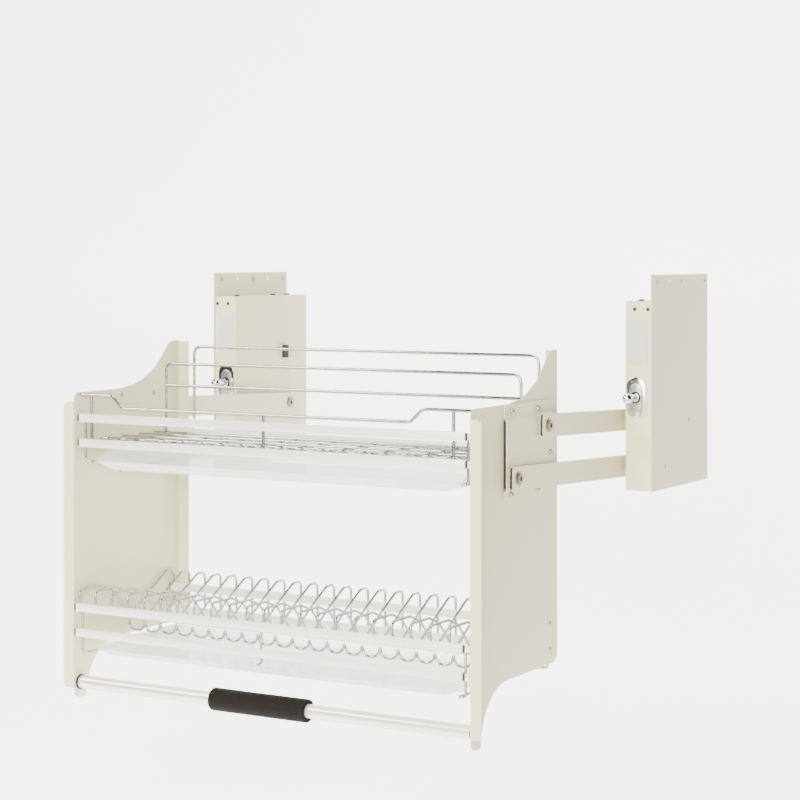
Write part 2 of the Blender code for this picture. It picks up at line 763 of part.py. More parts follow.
def adjuster_screw(name, side):
    """Ball-ended screw that sets the spring's tension, along Y."""
    knob = [(ADJUSTER_KNOB_RADIUS * math.sin(angle),
             ADJUSTER_TIP - ADJUSTER_KNOB_RADIUS + ADJUSTER_KNOB_RADIUS * math.cos(angle))
            for angle in [math.pi / 2 * step / CORNER_STEPS for step in range(1, CORNER_STEPS + 1)]]
    nut_front = ESCUTCHEON_THICK + GAP + ADJUSTER_COLLAR
    neck_front = ADJUSTER_TIP - ADJUSTER_KNOB
    inside = -HOUSING_SHEET - GAP
    profile = [(0, ADJUSTER_TIP), *knob, (ADJUSTER_KNOB_RADIUS, neck_front),
               (ADJUSTER_NECK_RADIUS, neck_front), (ADJUSTER_NECK_RADIUS, nut_front),
               (ADJUSTER_NUT_RADIUS, nut_front), (ADJUSTER_NUT_RADIUS, GAP),
               (ADJUSTER_THREAD_RADIUS, GAP), (ADJUSTER_THREAD_RADIUS, inside),
               (ADJUSTER_NECK_RADIUS, inside), (ADJUSTER_NECK_RADIUS, inside - ADJUSTER_COLLAR),
               (ADJUSTER_THREAD_RADIUS, inside - ADJUSTER_COLLAR), (ADJUSTER_THREAD_RADIUS, -ADJUSTER_END),
               (0, -ADJUSTER_END)]
    obj = turned(name, profile, (side * SPRING_X, 0, ADJUSTER_Z), TURN_TO_XZ, SMALL_TURN_STEPS)
    return give(obj, "chrome")


def spring_carriage(name, side):
    """Block that the adjuster screw draws along Y, with a lug pin for the spring."""
    rear = CARRIAGE_FRONT + CARRIAGE_LENGTH
    x = side * SPRING_X
    obj = box(name, (CARRIAGE_WIDTH, CARRIAGE_LENGTH, CARRIAGE_HEIGHT),
              (x, (CARRIAGE_FRONT + rear) / 2, ADJUSTER_Z))
    lug_x = CARRIAGE_WIDTH / 2 - LUG_INSET
    lug_end = CARRIAGE_PIN_Y + LUG_END
    lug_start = rear - OVERRUN
    for label, shift in (("inner", -lug_x), ("outer", lug_x)):
        join(obj, box(f"{name}_{label}_lug", (LUG_THICK, lug_end - lug_start, LUG_HEIGHT),
                      (x + shift, (lug_start + lug_end) / 2, ADJUSTER_Z)))
    join(obj, rod(name + "_pin", CARRIAGE_PIN_RADIUS, 2 * lug_x, (x, CARRIAGE_PIN_Y, ADJUSTER_Z),
                  along_x(side)))
    cut(obj, rod(name + "_bore", ADJUSTER_THREAD_RADIUS + BORE_GAP, 2 * CARRIAGE_LENGTH,
                 (x, (CARRIAGE_FRONT + rear) / 2, ADJUSTER_Z), TURN_TO_XZ))
    return give(obj, "steel")


def spring_path():
    """Extension spring as (along, across, sideways) from the carriage pin to the crank pin."""
    pin_y, pin_z = crank_pin_place()
    length = math.hypot(pin_y - CARRIAGE_PIN_Y, pin_z - ADJUSTER_Z)
    first_hook = CARRIAGE_PIN_RADIUS + GAP + SPRING_WIRE / 2
    last_hook = CRANK_PIN_RADIUS + GAP + SPRING_WIRE / 2
    path = []
    for step in range(HOOK_STEPS + 1):
        angle = math.radians(60) + math.radians(230) * step / HOOK_STEPS
        path.append((first_hook * math.cos(angle), first_hook * math.sin(angle), 0))
    points = SPRING_TURNS * SPRING_TURN_POINTS
    for step in range(points + 1):
        angle = -math.pi / 2 + 2 * math.pi * step / SPRING_TURN_POINTS
        along = SPRING_START + SPRING_COIL * step / points
        path.append((along, SPRING_RADIUS * math.sin(angle), SPRING_RADIUS * math.cos(angle)))
    coil_end = SPRING_START + SPRING_COIL
    path.append((coil_end + SPRING_LEAD / 2, -SPRING_RADIUS / 2, 0))
    path.append((coil_end + SPRING_LEAD, 0, 0))
    for step in range(HOOK_STEPS + 1):
        angle = math.radians(215) + math.radians(250) * step / HOOK_STEPS
        path.append((length + last_hook * math.cos(angle), last_hook * math.sin(angle), 0))
    return path, length


def least_gap(path):
    """The least clear distance between points of a wire that are not close along it."""
    points = [Vector(point) for point in path]
    apart = 5
    gaps = [(a - b).length for i, a in enumerate(points) for b in points[i + apart:]]
    return min(gaps) - SPRING_WIRE


def lift_spring(name, side):
    path, length = spring_path()
    pin_y, pin_z = crank_pin_place()
    along = Vector((0, (pin_y - CARRIAGE_PIN_Y) / length, (pin_z - ADJUSTER_Z) / length))
    across = Vector((0, -along.z, along.y))
    start = Vector((side * SPRING_X, CARRIAGE_PIN_Y, ADJUSTER_Z))
    points = [start + along * a + across * b + Vector((side * c, 0, 0)) for a, b, c in path]
    return give(wire(name, points, SPRING_WIRE), "spring")


def stop_strip(name, side):
    """Steel strip on the housing's inner face that carries the stop pad."""
    outline = rectangle(-STRIP_START, STRIP_LENGTH - STRIP_START, -STRIP_WIDTH / 2, STRIP_WIDTH / 2)
    place = (side * (HOUSING_X - GAP - STRIP_THICK / 2), PAD_Y, PAD_Z)
    return give(slab(name, tilted(outline, STRIP_ANGLE), STRIP_THICK, place, TURN_TO_YZ), "paint")


def stop_pad(name, side):
    """Black pad on its strip, as thick as the swinging arm leaves room for."""
    outer = HOUSING_X - GAP - STRIP_THICK - GAP
    inner = ARM_X + ARM_THICK + PAD_CLEARANCE
    place = (side * (outer + inner) / 2, PAD_Y, PAD_Z)
    return give(box(name, (outer - inner, PAD_LENGTH, PAD_HEIGHT), place), "black")


def flat_bar(name, y, z):
    """Flat bar between the side plates, with a smaller plug at each end."""
    obj = box(name, (2 * BAR_END_X, BAR_DEPTH, BAR_HEIGHT), (0, y, z))
    join(obj, box(name + "_plugs", (2 * INSIDE_X, PLUG_DEPTH, PLUG_HEIGHT), (0, y, z)))
    return give(obj, "bar")


BEHIND_BOWL_BAR = BOWL_BAR_FRONT + BAR_DEPTH + GAP + WIRE / 2
BEHIND_PLATE_BAR = PLATE_BAR_FRONT + BAR_DEPTH + GAP + WIRE / 2
UNDER_FLOOR_Z = FLOOR_Z - WIRE + WIRE_SINK
DISH_FIRST = -math.floor(DISH_LEFT_REACH / DISH_PITCH)
DISH_LAST = math.floor(DISH_RIGHT_REACH / DISH_PITCH)


def wave_points(y):
    """Shallow wave along X that touches each crosswise wire at its low points."""
    pitch = FLOOR_CROSS_PITCH / 2
    count = FLOOR_CROSS_COUNT
    top = FLOOR_Z + WAVE_RISE
    points = [(-INSIDE_X, y, FLOOR_Z)]
    for number in range(-count, count + 1):
        x = number * pitch
        points.append((x, y, FLOOR_Z))
        if number < count:
            points.append((x + (1 - WAVE_TOP_SHARE) / 2 * pitch, y, top))
            points.append((x + (1 + WAVE_TOP_SHARE) / 2 * pitch, y, top))
    points.append((INSIDE_X, y, FLOOR_Z))
    return points


def bowl_rack(name):
    """Welded wire floor of the upper shelf."""
    wires = []
    for number, y in enumerate(FLOOR_LENGTHWISE_Y):
        wires.append(wire(f"{name}_length_{number}", [(-INSIDE_X, y, FLOOR_Z), (INSIDE_X, y, FLOOR_Z)]))
    start = BOWL_BAR_FRONT + BAR_DEPTH + GAP
    end = BOWL_REAR_BAR[0] - BAR_DEPTH / 2 - GAP
    for number in range(FLOOR_CROSS_COUNT):
        x = (number - (FLOOR_CROSS_COUNT - 1) / 2) * FLOOR_CROSS_PITCH
        points = [(x, start, UNDER_FLOOR_Z), (x, end, UNDER_FLOOR_Z)]
        wires.append(wire(f"{name}_cross_{number}", points))
    wires.append(wire(name + "_wave", wave_points(WAVE_FRONT_Y)))
    solids = [as_mesh(item) for item in wires]
    solids[0].name = name
    return give(weld_all(solids[0], solids[1:]), "steel")


def welded_frame(name, paths):
    """Wires that end inside one another, as one solid."""
    solids = [as_mesh(wire(f"{name}_{number}", path, FRAME_WIRE)) for number, path in enumerate(paths)]
    solids[0].name = name
    return give(weld_all(solids[0], solids[1:]), "steel")


def bowl_front_rail(name):
    """Dipped rail over the front bars, on three posts."""
    y = BOWL_BAR_FRONT + BAR_DEPTH + GAP + FRAME_WIRE / 2
    low = FRONT_RAIL_Z - FRONT_RAIL_DIP
    rail = [(-INSIDE_X, y, FRONT_RAIL_Z), (RAIL_MIDDLE_X - RAIL_SLOPE_OUT, y, FRONT_RAIL_Z),
            (RAIL_MIDDLE_X - RAIL_SLOPE_IN, y, low), (RAIL_MIDDLE_X + RAIL_SLOPE_IN, y, low),
            (RAIL_MIDDLE_X + RAIL_SLOPE_OUT, y, FRONT_RAIL_Z), (INSIDE_X, y, FRONT_RAIL_Z)]
    foot = UNDER_FLOOR_Z + WIRE / 2 + GAP
    paths = [bent(rail, GUARD_BEND)]
    for number, top in ((-1, FRONT_RAIL_Z), (0, low), (1, FRONT_RAIL_Z)):
        x = RAIL_POSTS_MIDDLE_X + number * RAIL_POST_PITCH
        paths.append([(x, y, foot), (x, y, top)])
    return welded_frame(name, paths)


def bowl_rear_guard(name):
    """High rear rail whose feet run forward to the rear bar."""
    bar_y, bar_z = BOWL_REAR_BAR
    foot_y = bar_y + BAR_DEPTH / 2 + GAP
    half = [(foot_y, bar_z), (REAR_GUARD_Y, bar_z), (REAR_GUARD_Y, REAR_GUARD_Z)]
    left = [(-REAR_GUARD_X, y, z) for y, z in half]
    right = [(REAR_GUARD_X, y, z) for y, z in reversed(half)]
    return give(wire(name, bent(left + right, GUARD_BEND), FRAME_WIRE), "steel")


def bowl_mid_guard(name):
    """Upright frame on the rearmost lengthwise wire, with a lower wire across."""
    foot = FLOOR_Z + WIRE / 2 + GAP
    y = MID_GUARD_Y
    hoop = [(-GUARD_X, y, foot), (-GUARD_X, y, MID_GUARD_Z), (GUARD_X, y, MID_GUARD_Z), (GUARD_X, y, foot)]
    low = [(-GUARD_X, y, MID_GUARD_LOW_Z), (GUARD_X, y, MID_GUARD_LOW_Z)]
    return welded_frame(name, [bent(hoop, GUARD_BEND), low])


def dish_profile():
    """Side view of one upright wire: front leg, flat, valley, flat, rear leg."""
    rear_y = PLATE_REAR_Y + BAR_DEPTH / 2 + GAP + WIRE / 2
    drop = DISH_TOP_Z - DISH_VALLEY_Z
    fall = DISH_VALLEY_Y - DISH_FRONT_FLAT_Y
    climb = DISH_REAR_FLAT_Y - DISH_VALLEY_Y
    profile = [(BEHIND_PLATE_BAR, DISH_FRONT_FOOT), (BEHIND_PLATE_BAR, DISH_TOP_Z - DISH_BEND),
               (BEHIND_PLATE_BAR + DISH_BEND, DISH_TOP_Z), (DISH_FRONT_FLAT_Y, DISH_TOP_Z)]
    profile += [(DISH_FRONT_FLAT_Y + fall * y, DISH_TOP_Z - drop * z) for y, z in DISH_SLOPE_SHARES]
    profile += [(DISH_VALLEY_Y - DISH_VALLEY_FLAT / 2, DISH_VALLEY_Z),
                (DISH_VALLEY_Y + DISH_VALLEY_FLAT / 2, DISH_VALLEY_Z)]
    profile += [(DISH_VALLEY_Y + climb * y, DISH_VALLEY_Z + drop * z) for y, z in DISH_RISE_SHARES]
    profile += [(DISH_REAR_FLAT_Y, DISH_TOP_Z), (rear_y - DISH_BEND, DISH_TOP_Z),
                (rear_y, DISH_TOP_Z - DISH_BEND), (rear_y, DISH_REAR_FOOT)]
    return profile


def dish_rack(name):
    """Comb of upright wires on one wire that runs under their valleys."""
    profile = dish_profile()
    cross_z = DISH_VALLEY_Z - WIRE + WIRE_SINK
    ends = [(-INSIDE_X, DISH_VALLEY_Y, cross_z), (INSIDE_X, DISH_VALLEY_Y, cross_z)]
    wires = [wire(name, ends)]
    for number in range(DISH_FIRST, DISH_LAST + 1):
        x = number * DISH_PITCH
        wires.append(wire(f"{name}_{number - DISH_FIRST}", [(x, y, z) for y, z in profile]))
    solids = [as_mesh(item) for item in wires]
    return give(weld_all(solids[0], solids[1:]), "steel")


def cradle_wire(name):
    """Scalloped wire under the comb: a deep loop between each two of its wires."""
    top = DISH_VALLEY_Z - WIRE + WIRE_SINK - WIRE - GAP
    points = []
    for number in range(DISH_FIRST, DISH_LAST):
        for along, down in CRADLE_SHARES:
            points.append(((number + along) * DISH_PITCH, DISH_VALLEY_Y, top - down * CRADLE_DEPTH))
    points.append((DISH_LAST * DISH_PITCH, DISH_VALLEY_Y, top))
    return give(wire(name, points), "steel")


def tray_rail(name, side, front_y, front_top, rail_z, rear_y, rear_top, rear_x):
    """Wire that hangs from the front bars, carries a tray's edge and ends on the rear bar."""
    path = [(side * HANGER_X, front_y, front_top), (side * HANGER_X, front_y, rail_z),
            (side * RAIL_X, front_y, rail_z), (side * RAIL_X, rear_y, rail_z),
            (side * rear_x, rear_y, rail_z), (side * rear_x, rear_y, rear_top)]
    return give(wire(name, bent(path, RAIL_BEND)), "steel")


def middle_hanger(name):
    """Upright wire behind the lower shelf's front bars, turned forward at its foot."""
    y = BEHIND_PLATE_BAR
    top = PLATE_BARS_Z[0] + BAR_HEIGHT / 2
    tip = y - BAR_DEPTH - RAIL_TIP
    path = [(MIDDLE_HANGER_X, y, top), (MIDDLE_HANGER_X, y, MIDDLE_HANGER_FOOT),
            (MIDDLE_HANGER_X, tip, MIDDLE_HANGER_FOOT)]
    return give(wire(name, bent(path, RAIL_TIP)), "steel")


def tray(name, bottom_z, lip, rim, rail_z):
    """Thin drip tray: low front lip, higher sides and back, a runner along each side."""
    front_end = TRAY_FRONT + TRAY_LIP_RUN
    corners = rectangle(-TRAY_TOP_X, TRAY_TOP_X, TRAY_FRONT, TRAY_REAR, TRAY_RADIUS)
    plan = sorted_ring(corners + [(-TRAY_TOP_X, front_end), (TRAY_TOP_X, front_end)])
    shrink_x = TRAY_BOTTOM_X / TRAY_TOP_X
    middle = (TRAY_FRONT + TRAY_REAR) / 2
    half = (TRAY_REAR - TRAY_FRONT) / 2
    shrink_y = (half - TRAY_FRONT_TAPER) / half
    shape = bmesh.new()
    low = [shape.verts.new((x * shrink_x, middle + (y - middle) * shrink_y, bottom_z)) for x, y in plan]
    high = []
    for x, y in plan:
        share = min(max((y - TRAY_FRONT) / TRAY_LIP_RUN, 0), 1)
        high.append(shape.verts.new((x, y, bottom_z + lip + (rim - lip) * share)))
    shape.faces.new(list(reversed(low)))
    for index in range(len(plan)):
        following = (index + 1) % len(plan)
        shape.faces.new((low[index], low[following], high[following], high[index]))
    mesh = bpy.data.meshes.new(name)
    shape.to_mesh(mesh)
    shape.free()
    obj = add(name, mesh)
    skin = obj.modifiers.new("thickness", "SOLIDIFY")
    skin.thickness = TRAY_WALL
    skin.offset = -1
    skin.use_even_offset = True
    runner_z = rail_z + WIRE / 2 + GAP
    wall_x = TRAY_BOTTOM_X + (TRAY_TOP_X - TRAY_BOTTOM_X) * (runner_z - bottom_z) / rim
    inner = wall_x - RUNNER_BITE
    outer = RAIL_X + RUNNER_OVERHANG
    start = front_end + RUNNER_END
    end = TRAY_REAR - RUNNER_END
    for label, side in SIDES:
        size = (outer - inner, end - start, RUNNER_THICK)
        place = (side * (outer + inner) / 2, (start + end) / 2, runner_z + RUNNER_THICK / 2)
        join(obj, box(f"{name}_{label}_runner", size, place))
    return give(obj, "tray")


def sorted_ring(plan):
    """Points of a convex ring, ordered anticlockwise about its centre."""
    centre_y = (TRAY_FRONT + TRAY_REAR) / 2
    return sorted(plan, key=lambda point: math.atan2(point[1] - centre_y, point[0]))


def handle_tube(name):
    end = INSIDE_X - CAP_LENGTH + CAP_SOCKET - GAP
    bore = HANDLE_RADIUS - HANDLE_WALL
    profile = [(bore, end), (HANDLE_RADIUS, end), (HANDLE_RADIUS, -end), (bore, -end)]
    obj = turned(name, profile, (0, HANDLE_Y, HANDLE_Z), along_x(1), ring=True)
    return give(obj, "tube")


def handle_grip(name):
    """Foam sleeve on the handle tube."""
    bore = HANDLE_RADIUS + GAP
    shoulder = GRIP_RADIUS - GRIP_ROUND
    profile = [(bore, GRIP_RIGHT), (shoulder, GRIP_RIGHT), (GRIP_RADIUS, GRIP_RIGHT - GRIP_ROUND),
               (GRIP_RADIUS, GRIP_LEFT + GRIP_ROUND), (shoulder, GRIP_LEFT), (bore, GRIP_LEFT)]
    obj = turned(name, profile, (0, HANDLE_Y, HANDLE_Z), along_x(1), ring=True)
    return give(obj, "foam")


def handle_cap(name, side):
    """Socket on the side plate that holds the end of the handle tube."""
    seat = INSIDE_X - CAP_LENGTH + CAP_SOCKET
    bore = HANDLE_RADIUS + GAP
    mouth = INSIDE_X - CAP_LENGTH
    profile = [(0, INSIDE_X), (CAP_RADIUS, INSIDE_X), (CAP_RADIUS, mouth), (bore, mouth), (bore, seat),
               (0, seat)]
    obj = turned(name, profile, (0, HANDLE_Y, HANDLE_Z), along_x(side))
    return give(obj, "black")


for label, side in SIDES:
    wall_plate(label + "_wall_plate", side)
    housing(label + "_housing", side)
    stop_strip(label + "_stop_bracket", side)
    stop_pad(label + "_stop_pad", side)
    rest_buffer(label + "_rest_buffer", side)
    adjuster_plate(label + "_adjuster_plate", side)
    lift_spring(label + "_lift_spring", side)
    adjuster_screw(label + "_adjuster_screw", side)
    spring_carriage(label + "_spring_carriage", side)
    arm(label + "_upper_arm", side, UPPER_BOX_PIVOT)
    crank_shaft(label + "_crank_shaft", side)
    arm(label + "_lower_arm", side, LOWER_BOX_PIVOT)
    shaft(label + "_lower_shaft", side, LOWER_BOX_PIVOT)

basket = pivot("basket_pivot", (0, *basket_pivot_of(UPPER_BOX_PIVOT)))
for label, side in SIDES:
    hang(side_plate(label + "_side_plate", side), basket)
    hang(arm_bracket(label + "_arm_bracket", side), basket)
    hang(pivot_bolt(label + "_upper_pivot_bolt", side, basket_pivot_of(UPPER_BOX_PIVOT)), basket)
    hang(pivot_bolt(label + "_lower_pivot_bolt", side, basket_pivot_of(LOWER_BOX_PIVOT)), basket)
    hang(handle_cap(label + "_handle_cap", side), basket)
    hang(tray_rail(label + "_upper_tray_rail", side, BEHIND_BOWL_BAR, BOWL_BARS_Z[0], UPPER_RAIL_Z,
                   BOWL_REAR_BAR[0] + BAR_DEPTH / 2 + GAP + WIRE / 2,
                   BOWL_REAR_BAR[1] - BAR_HEIGHT / 2 + UPPER_RAIL_OVERLAP, REAR_HANGERS_X[label]), basket)
    hang(tray_rail(label + "_lower_tray_rail", side, BEHIND_PLATE_BAR, PLATE_BARS_Z[0], LOWER_RAIL_Z,
                   PLATE_REAR_Y + BAR_DEPTH / 2 + GAP + WIRE / 2, PLATE_REAR_BARS_Z[0],
                   REAR_HANGERS_X[label]), basket)

for name, y, z in (
    ("bowl_bar_top", BOWL_BAR_FRONT + BAR_DEPTH / 2, BOWL_BARS_Z[0]),
    ("bowl_bar_bottom", BOWL_BAR_FRONT + BAR_DEPTH / 2, BOWL_BARS_Z[1]),
    ("plate_bar_top", PLATE_BAR_FRONT + BAR_DEPTH / 2, PLATE_BARS_Z[0]),
    ("plate_bar_bottom", PLATE_BAR_FRONT + BAR_DEPTH / 2, PLATE_BARS_Z[1]),
    ("bowl_rear_bar", *BOWL_REAR_BAR),
    ("plate_rear_bar_top", PLATE_REAR_Y, PLATE_REAR_BARS_Z[0]),
    ("plate_rear_bar_bottom", PLATE_REAR_Y, PLATE_REAR_BARS_Z[1]),
):
    hang(flat_bar(name, y, z), basket)

for piece in (
    bowl_rack("bowl_rack"),
    bowl_front_rail("bowl_front_rail"),
    bowl_rear_guard("bowl_rear_guard"),
    bowl_mid_guard("bowl_mid_guard"),
    dish_rack("dish_rack"),
    cradle_wire("plate_cradle_wire"),
    middle_hanger("middle_hanger"),
    handle_tube("handle_tube"),
    handle_grip("handle_grip"),
    tray("upper_drip_tray", UPPER_TRAY_Z, TRAY_LIP, TRAY_RIM, UPPER_RAIL_Z),
    tray("lower_drip_tray", LOWER_TRAY_Z, LOWER_TRAY_LIP, LOWER_TRAY_RIM, LOWER_RAIL_Z),
):
    hang(piece, basket)

print("least gap of a lift spring to itself, mm:", round(least_gap(spring_path()[0]) * 1000, 2))
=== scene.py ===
"""Finishes and fine shapes of the pull-down dish rack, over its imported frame."""
import math

import bmesh
import bpy
from mathutils import Matrix, Vector


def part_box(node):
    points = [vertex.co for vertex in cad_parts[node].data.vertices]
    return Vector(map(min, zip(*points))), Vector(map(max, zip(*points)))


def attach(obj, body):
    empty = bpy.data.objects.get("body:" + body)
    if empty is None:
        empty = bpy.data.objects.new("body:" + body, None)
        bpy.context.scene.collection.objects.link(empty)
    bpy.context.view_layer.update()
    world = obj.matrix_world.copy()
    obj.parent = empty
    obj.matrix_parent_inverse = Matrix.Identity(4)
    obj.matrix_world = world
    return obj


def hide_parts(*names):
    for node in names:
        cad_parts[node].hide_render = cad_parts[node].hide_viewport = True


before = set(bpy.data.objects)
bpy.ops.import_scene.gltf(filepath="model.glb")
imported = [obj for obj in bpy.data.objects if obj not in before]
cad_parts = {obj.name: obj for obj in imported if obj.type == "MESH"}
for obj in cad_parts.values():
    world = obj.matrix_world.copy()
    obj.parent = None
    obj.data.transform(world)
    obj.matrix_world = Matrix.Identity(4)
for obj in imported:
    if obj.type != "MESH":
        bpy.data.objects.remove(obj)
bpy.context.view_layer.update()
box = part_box

# Sizes in metres
WIRE_RADIUS = 0.002
FRAME_RADIUS = 0.0025
WIRE_SIDES = 12
CLEARANCE = 0.0003
SIDES = (("left", -1), ("right", 1))


class Socket:
    """A shader socket that Python arithmetic works on."""

    def __init__(self, nodes, socket):
        self.nodes = nodes
        self.socket = socket

    def maths(self, operation, other, reverse=False):
        """A Math node on this socket and another socket or number."""
        pair = (other, self) if reverse else (self, other)
        return self.nodes.add("Math", {"operation": operation}, dict(enumerate(pair)))

    def __add__(self, other):
        return self.maths("ADD", other)

    def __sub__(self, other):
        return self.maths("SUBTRACT", other)

    def __rsub__(self, other):
        return self.maths("SUBTRACT", other, True)

    def __mul__(self, other):
        return self.maths("MULTIPLY", other)

    __radd__ = __add__
    __rmul__ = __mul__


class Finish:
    """One procedural material on a Principled shader."""

    def __init__(self, name, slot, constants=()):
        self.slot = slot
        self.material = bpy.data.materials.new(name)
        self.material.use_nodes = True
        self.tree = self.material.node_tree
        self.shader = self.tree.nodes["Principled BSDF"]
        for key, value in dict(constants).items():
            self.shader.inputs[key].default_value = value
        self.place = self.add("TexCoord", {}, {}, "Object")

    def add(self, kind, settings, inputs, output=0):
        """A node of any kind: its settings, then the values or links of its inputs."""
        node = self.tree.nodes.new("ShaderNode" + kind)
        for key, value in settings.items():
            setattr(node, key, value)
        for key, value in inputs.items():
            if isinstance(value, Socket):
                self.tree.links.new(value.socket, node.inputs[key])
            else:
                node.inputs[key].default_value = value
        return Socket(self, node.outputs[output])

    def link(self, name, value):
        """Lets a socket drive one of the shader's inputs."""
        self.tree.links.new(value.socket, self.shader.inputs[name])

    def noise(self, scale, detail=3.0, stretch=(1, 1, 1)):
        """Noise on Object coordinates; a stretch below 1 draws it out along that axis."""
        place = self.add("Mapping", {}, {"Vector": self.place, "Scale": stretch})
        return self.add("TexNoise", {}, {"Vector": place, "Scale": scale, "Detail": detail}, "Fac")

    def shade(self, light, dark, amount):
        """Base colour that drifts between two tones."""
        self.link("Base Color", self.blend(light, dark, amount))

    def blend(self, first, second, amount):
        """A colour that goes from the first to the second as the amount goes from 0 to 1."""
        return self.add("Mix", {"data_type": "RGBA"}, {0: amount, 6: (*first, 1), 7: (*second, 1)}, 2)

    def relief(self, height, depth):
        """Fine bumps, depth metres from lowest to highest."""
        self.link("Normal", self.add("Bump", {}, {"Height": height, "Distance": depth, "Strength": 1.0}))


def powder_coat():
    """Warm off-white powder coat with a fine orange peel."""
    finish = Finish("powder_coat", "white_paint", {"Coat Weight": 0.12, "Coat Roughness": 0.25})
    finish.shade((0.700, 0.665, 0.445), (0.672, 0.635, 0.410), finish.noise(6.0))
    finish.link("Roughness", 0.36 + 0.10 * finish.noise(60.0))
    finish.relief(finish.noise(850.0, 2.0), 0.00006)
    return finish


def clouded_metal(name, slot, light, dark, cloud, polish, grain, tint=(1, 1, 1, 1)):
    """Bare metal: its tone drifts at the cloud scale, its polish (least, spread) at the grain scale."""
    finish = Finish(name, slot, {"Metallic": 1.0, "Specular Tint": tint})
    finish.shade(light, dark, finish.noise(cloud))
    least, spread = polish
    finish.link("Roughness", least + spread * finish.noise(grain))
    return finish


def bar_metal():
    """Pale drawn bar with faint lines along its length."""
    finish = Finish("drawn_bar", "bar_metal", {"Metallic": 0.35})
    lines = finish.noise(600.0, 3.0, (0.02, 1, 1))
    finish.shade((0.92, 0.915, 0.88), (0.84, 0.835, 0.80), lines)
    finish.link("Roughness", 0.30 + 0.14 * lines)
    finish.relief(lines, 0.00002)
    return finish


def handle_metal():
    """Warm satin tube, with fine lines along it."""
    finish = Finish("satin_tube", "handle_metal",
                    {"Metallic": 0.6, "Specular Tint": (0.62, 0.48, 0.36, 1)})
    lines = finish.noise(700.0, 3.0, (0.03, 1, 1))
    finish.shade((0.90, 0.87, 0.81), (0.82, 0.79, 0.725), lines)
    finish.link("Roughness", 0.30 + 0.12 * lines)
    return finish


def grip_foam():
    """Closed-cell foam: small pits, dark warm black."""
    finish = Finish("grip_foam", "grip_foam", {"Specular IOR Level": 0.12})
    cells = finish.add("TexVoronoi", {}, {"Vector": finish.place, "Scale": 900.0}, "Distance")
    finish.shade((0.010, 0.008, 0.0065), (0.005, 0.004, 0.003), finish.noise(500.0))
    finish.link("Roughness", 0.68 + 0.20 * cells)
    finish.relief(cells, 0.00025)
    return finish


def black_moulding(name, slot, roughness):
    """Moulded black plastic or rubber with a very fine grain."""
    finish = Finish(name, slot)
    finish.shade((0.022, 0.022, 0.023), (0.012, 0.012, 0.012), finish.noise(300.0))
    finish.link("Roughness", roughness + 0.15 * finish.noise(500.0))
    finish.relief(finish.noise(1200.0), 0.00004)
    return finish


def tray_plastic():
    """Clear plastic that looks milkier edge-on."""
    finish = Finish("clear_tray", "tray_plastic", {"IOR": 1.49})
    finish.shade((0.93, 0.94, 0.94), (0.88, 0.895, 0.90), finish.noise(12.0))
    edge = finish.add("LayerWeight", {}, {"Blend": 0.45}, "Facing")
    finish.link("Alpha", 0.34 + 0.46 * edge)
    finish.link("Roughness", 0.08 + 0.08 * finish.noise(40.0))
    return finish


def plain_label():
    """Bare printed label ground."""
    finish = Finish("bare_label", "white_paint")
    finish.shade((0.60, 0.60, 0.56), (0.54, 0.54, 0.50), finish.noise(120.0))
    finish.link("Roughness", 0.50 + 0.10 * finish.noise(300.0))
    return finish


PAINT = powder_coat()
# Electropolished wire
WIRE = clouded_metal("bright_wire", "wire_steel", light=(0.54, 0.54, 0.525), dark=(0.36, 0.36, 0.345),
                     cloud=90.0, polish=(0.08, 0.12), grain=160.0, tint=(0.10, 0.10, 0.11, 1))
BAR = bar_metal()
CHROME = clouded_metal("polished_chrome", "chrome", light=(0.82, 0.82, 0.82), dark=(0.70, 0.70, 0.71),
                       cloud=70.0, polish=(0.07, 0.12), grain=200.0)
# Plated steel of the bolts, a greyish bronze
BOLT = clouded_metal("bolt_steel", "bolt_steel", light=(0.36, 0.31, 0.25), dark=(0.22, 0.18, 0.14),
                     cloud=240.0, polish=(0.26, 0.18), grain=420.0)
# Zinc plate of the small screws, brighter than the bolts
SCREW = clouded_metal("screw_steel", "bolt_steel", light=(0.52, 0.48, 0.41), dark=(0.38, 0.34, 0.28),
                      cloud=240.0, polish=(0.20, 0.14), grain=420.0)
# Grey satin steel of the adjusters' inner plates
SATIN = clouded_metal("satin_plate", "chrome", light=(0.50, 0.50, 0.49), dark=(0.40, 0.40, 0.39),
                      cloud=180.0, polish=(0.28, 0.14), grain=320.0)
SPRING = clouded_metal("spring_steel", "spring_steel", light=(0.38, 0.38, 0.39), dark=(0.26, 0.26, 0.27),
                       cloud=200.0, polish=(0.30, 0.20), grain=300.0)
TUBE = handle_metal()
FOAM = grip_foam()
PLUG = black_moulding("black_plug", "black_plastic", 0.45)
RUBBER = black_moulding("black_rubber", "black_rubber", 0.70)
TRAY = tray_plastic()
LABEL = plain_label()


def finished(name, mesh, body, finish, nodes=(), crease=35):
    """Makes mesh a piece of the rack that rides on a body and stands for CAD nodes."""
    mesh.name = name
    mesh.materials.clear()
    mesh.materials.append(finish.material)
    mesh.shade_smooth()
    mesh.set_sharp_from_angle(angle=math.radians(crease))
    obj = placed(mesh, name)
    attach(obj, body)
    if nodes:
        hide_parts(*nodes)


def placed(data, name="helper"):
    """A new object in the scene."""
    obj = bpy.data.objects.new(name, data)
    bpy.context.scene.collection.objects.link(obj)
    return obj


def to_mesh(shape, merge=0.00002):
    """Closes a bmesh's seams, points its faces outwards and gives its mesh."""
    bmesh.ops.remove_doubles(shape, verts=shape.verts, dist=merge)
    bmesh.ops.recalc_face_normals(shape, faces=shape.faces)
    mesh = bpy.data.meshes.new("shape")
    shape.to_mesh(mesh)
    shape.free()
    return mesh


def closed_mesh(open_mesh):
    """Closes the seams and end caps that curves and nodes leave open."""
    shape = bmesh.new()
    shape.from_mesh(open_mesh)
    return to_mesh(shape, 0.00001)


